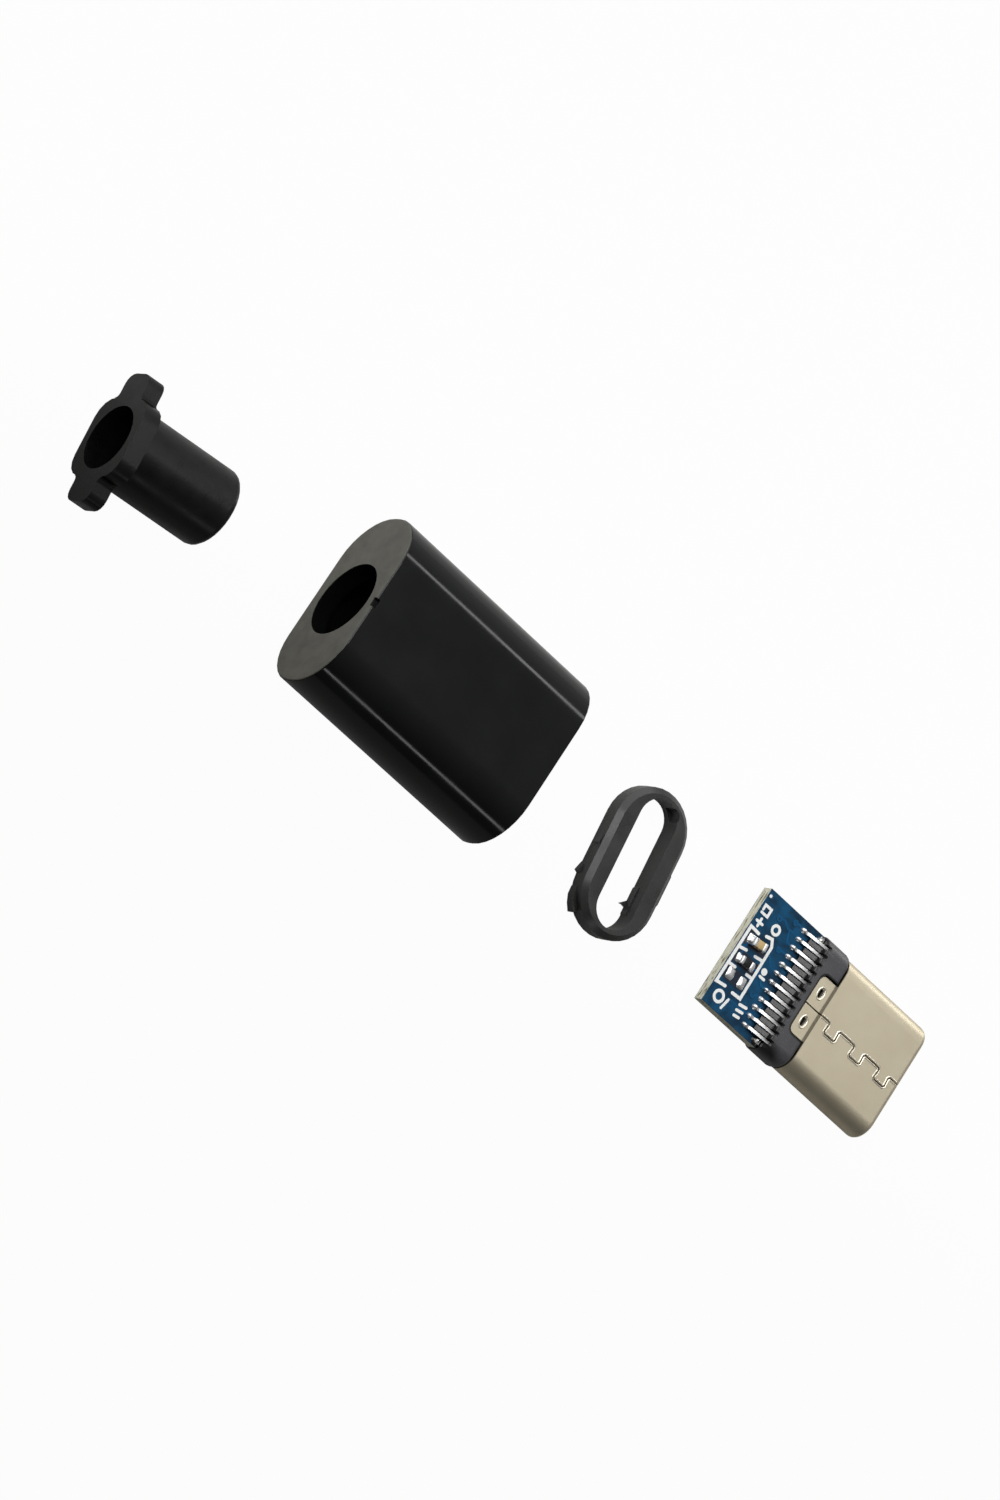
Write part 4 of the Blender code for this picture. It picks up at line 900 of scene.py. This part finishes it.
# The screen's mesh is drawn coarser than it is, so that it shows
weave = add_node(
    tree,
    "ShaderNodeTexNoise",
    {"Vector": place.outputs["Object"], "Scale": 1 / (0.08 * MM), "Detail": 2.0},
)
tone = add_node(
    tree,
    "ShaderNodeMix",
    {"Factor": weave.outputs[0], "A": linear("#dfe3e4"), "B": linear("#fbfbf8")},
    data_type="RGBA",
)
tree.links.new(tone.outputs[2], shader.inputs["Base Color"])
INK_RISE = 0.022
CROSSING_RISE = 0.8 * INK_RISE
LINE_WIDTH = 0.21
TICK_WIDTH = 0.95 * LINE_WIDTH
MARK_WIDTH = 0.18
LONG_BAR_WIDTH = 0.20
BAR_WIDTH = 0.19
brackets = (
    ((-4.24, 1.40), (-4.98, 1.44), (-5.00, -2.62), (-4.26, -2.50)),
    ((-3.66, 1.60), (-3.18, 1.72), (-2.92, 1.30), (-2.86, -2.48), (-3.56, -2.52)),
)
ticks = (
    ((-4.96, -0.04), (-4.34, 0.10)),
    ((-4.96, -1.24), (-4.38, -1.18)),
    ((-2.96, 0.26), (-3.58, 0.16)),
    ((-2.96, -1.02), (-3.40, -1.06)),
)
box_mark = ((-4.90, 2.55), (-4.36, 2.55), (-4.36, 3.07), (-4.90, 3.07), (-4.90, 2.76))
shape = bmesh.new()
for bracket in brackets:
    add_line(shape, bracket, LINE_WIDTH, INK_RISE)
for tick in ticks:
    add_line(shape, tick, TICK_WIDTH, CROSSING_RISE)
add_ring(shape, (-4.93, 3.70), outer=0.11, inner=DISC_HOLE, rise=INK_RISE)
add_ring(shape, (-3.32, 2.30), outer=0.38, inner=0.19, rise=INK_RISE)
add_line(shape, box_mark, MARK_WIDTH, INK_RISE)
add_line(shape, ((-4.88, 1.97), (-4.36, 1.97)), MARK_WIDTH, INK_RISE)
add_line(shape, ((-4.62, 1.71), (-4.62, 2.23)), MARK_WIDTH, CROSSING_RISE)
add_ring(shape, (-2.42, -0.17), outer=0.23, inner=DISC_HOLE, rise=INK_RISE)
add_line(shape, ((-2.54, -0.56), (-2.14, -0.56)), MARK_WIDTH, INK_RISE)
add_ring(shape, (-4.25, -3.25), outer=0.45, inner=0.25, rise=INK_RISE)
add_line(shape, ((-3.68, -3.72), (-3.53, -3.02)), MARK_WIDTH, INK_RISE)
add_line(shape, ((-2.12, -2.66), (-2.66, -2.76)), LONG_BAR_WIDTH, INK_RISE)
add_line(shape, ((-2.18, -3.06), (-2.66, -3.14)), BAR_WIDTH, INK_RISE)
add_line(shape, ((-2.22, -3.44), (-2.62, -3.50)), BAR_WIDTH, INK_RISE)
add_piece("board_print", shape, ink)

# Capacitor and resistor. Fired ceramic bricks with plated ends: the capacitor plain tan, the
# resistor black glaze on its upper side.
CHIP_SETBACK = -3.97
CHIP_LIFT = 0.02
CHIP_HALF = 0.5
CHIP_WIDTH = 0.50
END_LENGTH = 0.24
END_SINK = 0.01
CAP_SKIN = 0.016
GLAZE_DEPTH = 0.05 * MM
tan_ceramic, tree, shader = start_material("fired_tan_ceramic", Roughness=0.45, IOR=1.6)
place = add_node(tree, "ShaderNodeTexCoord")
pores = add_node(
    tree,
    "ShaderNodeTexNoise",
    {"Vector": place.outputs["Object"], "Scale": 1 / (0.10 * MM), "Detail": 3.0},
)
tone = add_node(
    tree,
    "ShaderNodeMix",
    {"Factor": pores.outputs[0], "A": linear("#a98a55"), "B": linear("#d8bd86")},
    data_type="RGBA",
)
tree.links.new(tone.outputs[2], shader.inputs["Base Color"])
dress("capacitor", tan_ceramic, 0.01 * MM)
black_glaze, tree, shader = start_material("black_glazed_ceramic", Roughness=0.22, IOR=1.55)
place = add_node(tree, "ShaderNodeTexCoord")
axes = add_node(tree, "ShaderNodeSeparateXYZ", {0: place.outputs["Object"]})
resistor_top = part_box("resistor")[1].z
glazed = add_node(
    tree,
    "ShaderNodeMath",
    {0: axes.outputs["Z"], 1: resistor_top - GLAZE_DEPTH},
    operation="GREATER_THAN",
)
tone = add_node(
    tree,
    "ShaderNodeMix",
    {"Factor": glazed.outputs[0], "A": linear("#8e8c86"), "B": linear("#101012")},
    data_type="RGBA",
)
tree.links.new(tone.outputs[2], shader.inputs["Base Color"])
dress("resistor", black_glaze, 0.01 * MM)

# The chips' ends are tin that has been melted: bright, with frosted patches
tin, tree, shader = start_material("reflowed_tin", Metallic=1.0)
place = add_node(tree, "ShaderNodeTexCoord")
frost = add_node(
    tree,
    "ShaderNodeTexNoise",
    {"Vector": place.outputs["Object"], "Scale": 1 / (0.35 * MM), "Detail": 1.0},
)
tone = add_node(
    tree,
    "ShaderNodeMix",
    {"Factor": frost.outputs[0], "A": linear("#dcdee0"), "B": linear("#f4f4f2")},
    data_type="RGBA",
)
dull = add_node(
    tree,
    "ShaderNodeMapRange",
    {"Value": frost.outputs[0], "From Min": 0.3, "From Max": 0.7, "To Min": 0.22, "To Max": 0.38},
)
tree.links.new(tone.outputs[2], shader.inputs["Base Color"])
tree.links.new(dull.outputs[0], shader.inputs["Roughness"])


def add_chip_end(shape, centre, turn, side, height):
    """A thin metal cap over one end of a chip, which lies turned on the board."""
    outer = Vector((CHIP_HALF + CAP_SKIN, CHIP_WIDTH / 2 + CAP_SKIN, height + CAP_SKIN))
    inner_x = CHIP_HALF - END_LENGTH
    spin = Matrix.Rotation(turn, 3, "Z")
    base = on_board(*centre) + Vector((0, 0, CHIP_LIFT * MM))
    cube = bmesh.ops.create_cube(shape, size=1.0)["verts"]
    size = Vector((outer.x - inner_x, 2 * outer.y, outer.z + END_SINK)) * MM
    middle = Vector((side * (outer.x + inner_x) / 2, 0, (outer.z - END_SINK) / 2)) * MM
    bmesh.ops.scale(shape, vec=size, verts=cube)
    bmesh.ops.translate(shape, vec=middle, verts=cube)
    bmesh.ops.rotate(shape, cent=(0, 0, 0), matrix=spin, verts=cube)
    bmesh.ops.translate(shape, vec=base, verts=cube)


chips = (
    ("capacitor", 0.80, math.radians(7), 0.50),
    ("resistor", -0.58, math.radians(4), 0.35),
)
for name, side, turn, height in chips:
    shape = bmesh.new()
    for end in (1, -1):
        add_chip_end(shape, (CHIP_SETBACK, side), turn, end, height)
    ends = add_piece(f"{name}_ends", shape, tin)
    edge = ends.modifiers.new("edge", "BEVEL")
    edge.width = 0.045 * MM
    edge.segments = 3
    ends.modifiers.new("even_normals", "WEIGHTED_NORMAL")

# Solder and tinned pads. Tin alloy, reflowed: it pulls up into smooth bright beads round each
# contact's foot and each chip's ends, and lies in low cushions on the bare pads.
BEAD_PROFILE = ((1.00, 0.00), (0.93, 0.20), (0.84, 0.45), (0.70, 0.70), (0.50, 0.88), (0.26, 0.98))
BEAD_STEPS = 20
BEAD_LEAN = 0.08
uneven = random.Random(7)


def add_bead(shape, centre, length, width, height, turn=0.0, square=2.0, level=1):
    """A cushion of solder on the board: round for square 2, with fuller corners above that."""
    base = on_board(*centre)
    if level < 0:
        base.z = board_low.z
    lean_x = uneven.uniform(-BEAD_LEAN, BEAD_LEAN) * length
    lean_y = uneven.uniform(-BEAD_LEAN, BEAD_LEAN) * width
    lean = Vector((lean_x, lean_y)) * MM
    rows = []
    for reach, rise in BEAD_PROFILE:
        row = []
        for step in range(BEAD_STEPS):
            angle = 2 * math.pi * step / BEAD_STEPS
            c, s = math.cos(angle), math.sin(angle)
            x = math.copysign(abs(c) ** (2 / square), c) * length / 2 * reach * MM
            y = math.copysign(abs(s) ** (2 / square), s) * width / 2 * reach * MM
            spun = Matrix.Rotation(turn, 2) @ Vector((x, y)) + lean * rise
            row.append(shape.verts.new(base + Vector((spun.x, spun.y, level * rise * height * MM))))
        rows.append(row)
    join_rows(shape, rows)
    shape.faces.new(rows[0])
    tip = shape.verts.new(base + Vector((lean.x, lean.y, level * height * MM)))
    for i in range(BEAD_STEPS):
        shape.faces.new((rows[-1][i - 1], rows[-1][i], tip))


TAIL_PITCH = 0.635
TAIL_END = -1.58
TAIL_BEAD_LENGTH = 0.50
TAIL_BEAD_WIDTH = 0.36
TAIL_BEAD_RISE = 0.20
tail_middle = (CONTACTS_PER_ROW - 1) / 2
tail_places = [(number - tail_middle) * TAIL_PITCH for number in range(CONTACTS_PER_ROW)]
for row, level in (("upper", 1), ("lower", -1)):
    shape = bmesh.new()
    for y in tail_places:
        long = TAIL_BEAD_LENGTH + uneven.uniform(-0.04, 0.06)
        wide = TAIL_BEAD_WIDTH + uneven.uniform(-0.03, 0.04)
        x = TAIL_END + uneven.uniform(-0.05, 0.05)
        high = TAIL_BEAD_RISE + uneven.uniform(-0.02, 0.03)
        add_bead(shape, (x, y), long, wide, high, level=level)
    add_piece(f"{row}_tail_solder", shape, tin)

PAD_TURN = math.radians(4)
pads = (
    (-4.44, 0.84, 0.62, 0.66, 0.13),
    (-3.44, 0.92, 0.50, 0.62, 0.11),
    (-4.42, -0.56, 0.60, 0.62, 0.13),
    (-3.42, -0.50, 0.56, 0.60, 0.12),
    (-4.41, -1.68, 0.62, 0.80, 0.10),
    (-3.36, -1.67, 0.58, 0.78, 0.10),
)
shape = bmesh.new()
for x, y, long, wide, high in pads:
    add_bead(shape, (x, y), long, wide, high, turn=PAD_TURN, square=5.0)
add_piece("chip_pad_solder", shape, tin)

LATCH_FOOT_X = -0.26
LATCH_FOOT_Y = 3.75
shape = bmesh.new()
for side in (1, -1):
    foot = (LATCH_FOOT_X, side * LATCH_FOOT_Y)
    add_bead(shape, foot, length=0.40, width=0.34, height=0.24)
add_piece("latch_foot_solder", shape, tin)

# Flux residue. Spilt rosin, burnt nearly black in the iron's heat and as glossy as glass, in pools
# round the latch's feet. The pools by the right-hand foot are also painted shade, a dark thing put
# beside the block.
rosin_and_shade, tree, shader = start_material(
    "burnt_rosin_and_painted_shade", Roughness=0.12, IOR=1.54, Specular_IOR_Level=0.6
)
place = add_node(tree, "ShaderNodeTexCoord")
pooled = add_node(
    tree, "ShaderNodeTexNoise", {"Vector": place.outputs["Object"], "Scale": 1 / (0.25 * MM)}
)
tone = add_node(
    tree,
    "ShaderNodeMix",
    {"Factor": pooled.outputs[0], "A": linear("#060505"), "B": linear("#1a100a")},
    data_type="RGBA",
)
tree.links.new(tone.outputs[2], shader.inputs["Base Color"])
pools = (
    (-0.33, -3.80, 0.62, 0.60, 0.09),
    (-0.17, -3.99, 0.30, 0.24, 0.14),
    (-0.22, 3.86, 0.40, 0.40, 0.08),
)
shape = bmesh.new()
for x, y, long, wide, high in pools:
    add_bead(shape, (x, y), long, wide, high)
add_piece("flux_and_shade_pools", shape, rosin_and_shade)

# Wire pads. Four broad copper pads on the board's under face, tinned in low cushions, where the
# cable's wires are soldered.
WIRE_PAD_X = -4.20
WIRE_PAD_PITCH = 1.90
WIRE_PADS = 4
shape = bmesh.new()
for number in range(WIRE_PADS):
    y = (number - (WIRE_PADS - 1) / 2) * WIRE_PAD_PITCH
    pad = (WIRE_PAD_X, y)
    add_bead(shape, pad, length=1.50, width=1.20, height=0.05, square=6.0, level=-1)
add_piece("wire_pads", shape, tin)

# Retaining ring. Injection-moulded in a matt charcoal plastic, with a fine spark-eroded grain,
# and thin flash left at its edges.
charcoal, tree, shader = start_material("matt_charcoal_moulding", IOR=1.5, Specular_IOR_Level=0.4)
place = add_node(tree, "ShaderNodeTexCoord")
# The eroded grain is drawn coarser than it is, so that it shows
grain = add_node(
    tree,
    "ShaderNodeTexNoise",
    {"Vector": place.outputs["Object"], "Scale": 1 / (0.09 * MM), "Detail": 3.0},
)
cloud = add_node(
    tree, "ShaderNodeTexNoise", {"Vector": place.outputs["Object"], "Scale": 1 / (1.8 * MM)}
)
tone = add_node(
    tree,
    "ShaderNodeMix",
    {"Factor": cloud.outputs[0], "A": linear("#232323"), "B": linear("#373736")},
    data_type="RGBA",
)
scuffed = add_node(
    tree,
    "ShaderNodeMapRange",
    {"Value": cloud.outputs[0], "From Min": 0.3, "From Max": 0.7, "To Min": 0.26, "To Max": 0.38},
)
relief = add_node(
    tree,
    "ShaderNodeBump",
    {"Strength": 0.4, "Distance": 0.010 * MM, "Height": grain.outputs[0]},
)
tree.links.new(tone.outputs[2], shader.inputs["Base Color"])
tree.links.new(scuffed.outputs[0], shader.inputs["Roughness"])
tree.links.new(relief.outputs[0], shader.inputs["Normal"])
dress("retaining_ring", charcoal, 0.04 * MM)

# The mould's parting line left a sharp shred and a long low rib inside the ring. Their outlines
# are in millimetres, across and along the ring
RING_TURN = math.radians(7.6)
RING_INSIDE = 1.415
IN_WALL = RING_INSIDE + 0.03
RIB_FACE = RING_INSIDE - 0.07
FLASH_FOOT = 0.02
shred = ((IN_WALL, -1.78), (0.87, -2.28), (1.10, -2.26), (IN_WALL, -2.34))
rib = ((IN_WALL, -0.85), (RIB_FACE, -1.0), (RIB_FACE, -2.75), (IN_WALL, -2.85))
ring_low, ring_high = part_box("retaining_ring")
ring_middle = ((ring_low + ring_high) / 2).xy
spin = Matrix.Rotation(RING_TURN, 2)
shape = bmesh.new()
for outline, top in ((shred, 0.14), (rib, 0.58)):
    spots = [tuple(ring_middle + spin @ Vector(spot) * MM) for spot in outline]
    add_plate(shape, spots, FLASH_FOOT * MM, top * MM)
add_piece("ring_flash", shape, charcoal)

# Housing. Injection-moulded in black, polished on its sides so that they take sharp narrow
# reflections, with a faint orange-peel; the mould left the end face matt, and painted light makes it
# grey.
MATT_DEPTH = 0.02 * MM
MATT_FADE = 0.04 * MM
black_gloss, tree, shader = start_material(
    "polished_black_moulding", IOR=1.5, Specular_IOR_Level=0.32
)
place = add_node(tree, "ShaderNodeTexCoord")
axes = add_node(tree, "ShaderNodeSeparateXYZ", {0: place.outputs["Object"]})
at_end = add_node(
    tree,
    "ShaderNodeMapRange",
    {
        "Value": axes.outputs["X"],
        "From Min": housing_low.x + MATT_DEPTH + MATT_FADE,
        "From Max": housing_low.x + MATT_DEPTH,
    },
)
end_mottle = add_node(
    tree,
    "ShaderNodeTexNoise",
    {"Vector": place.outputs["Object"], "Scale": 1 / (0.9 * MM), "Detail": 5.0, "Roughness": 0.6},
)
# Painted light: the end face is grey for the lamp and the white table mirrored in it
end_painted_light = add_node(
    tree,
    "ShaderNodeMix",
    {"Factor": end_mottle.outputs[0], "A": linear("#474640"), "B": linear("#706f68")},
    data_type="RGBA",
)
peel = add_node(
    tree,
    "ShaderNodeTexNoise",
    {"Vector": place.outputs["Object"], "Scale": 1 / (0.28 * MM), "Detail": 4.0},
)
cloud = add_node(
    tree,
    "ShaderNodeTexNoise",
    {"Vector": place.outputs["Object"], "Scale": 1 / (3.0 * MM), "Detail": 3.0},
)
tone = add_node(
    tree,
    "ShaderNodeMix",
    {"Factor": cloud.outputs[0], "A": linear("#070807"), "B": linear("#0f1110")},
    data_type="RGBA",
)
polish = add_node(
    tree,
    "ShaderNodeMapRange",
    {"Value": cloud.outputs[0], "From Min": 0.3, "From Max": 0.7, "To Min": 0.09, "To Max": 0.15},
)
relief = add_node(
    tree,
    "ShaderNodeBump",
    {"Strength": 0.25, "Distance": 0.006 * MM, "Height": peel.outputs[0]},
)
tone = add_node(
    tree,
    "ShaderNodeMix",
    {"Factor": at_end.outputs[0], "A": tone.outputs[2], "B": end_painted_light.outputs[2]},
    data_type="RGBA",
)
polish = add_node(
    tree,
    "ShaderNodeMix",
    {"Factor": at_end.outputs[0], "A": polish.outputs[0], "B": 0.48},
)
tree.links.new(tone.outputs[2], shader.inputs["Base Color"])
tree.links.new(polish.outputs[0], shader.inputs["Roughness"])
tree.links.new(relief.outputs[0], shader.inputs["Normal"])
dress("housing", black_gloss, 0.05 * MM)

# Strain relief. Moulded in a softer black plastic whose skin stays dull and handles to a faint
# smear of grey.
soft_black, tree, shader = start_material(
    "soft_matt_black_moulding", IOR=1.48, Specular_IOR_Level=0.28
)
place = add_node(tree, "ShaderNodeTexCoord")
grain = add_node(
    tree,
    "ShaderNodeTexNoise",
    {"Vector": place.outputs["Object"], "Scale": 1 / (0.20 * MM), "Detail": 5.0},
)
cloud = add_node(
    tree,
    "ShaderNodeTexNoise",
    {"Vector": place.outputs["Object"], "Scale": 1 / (1.3 * MM), "Detail": 3.0},
)
tone = add_node(
    tree,
    "ShaderNodeMix",
    {"Factor": cloud.outputs[0], "A": linear("#040504"), "B": linear("#0e0f0e")},
    data_type="RGBA",
)
dull = add_node(
    tree,
    "ShaderNodeMapRange",
    {"Value": cloud.outputs[0], "From Min": 0.3, "From Max": 0.7, "To Min": 0.26, "To Max": 0.40},
)
relief = add_node(
    tree,
    "ShaderNodeBump",
    {"Strength": 0.4, "Distance": 0.012 * MM, "Height": grain.outputs[0]},
)
tree.links.new(tone.outputs[2], shader.inputs["Base Color"])
tree.links.new(dull.outputs[0], shader.inputs["Roughness"])
tree.links.new(relief.outputs[0], shader.inputs["Normal"])
dress("strain_relief", soft_black, 0.06 * MM)
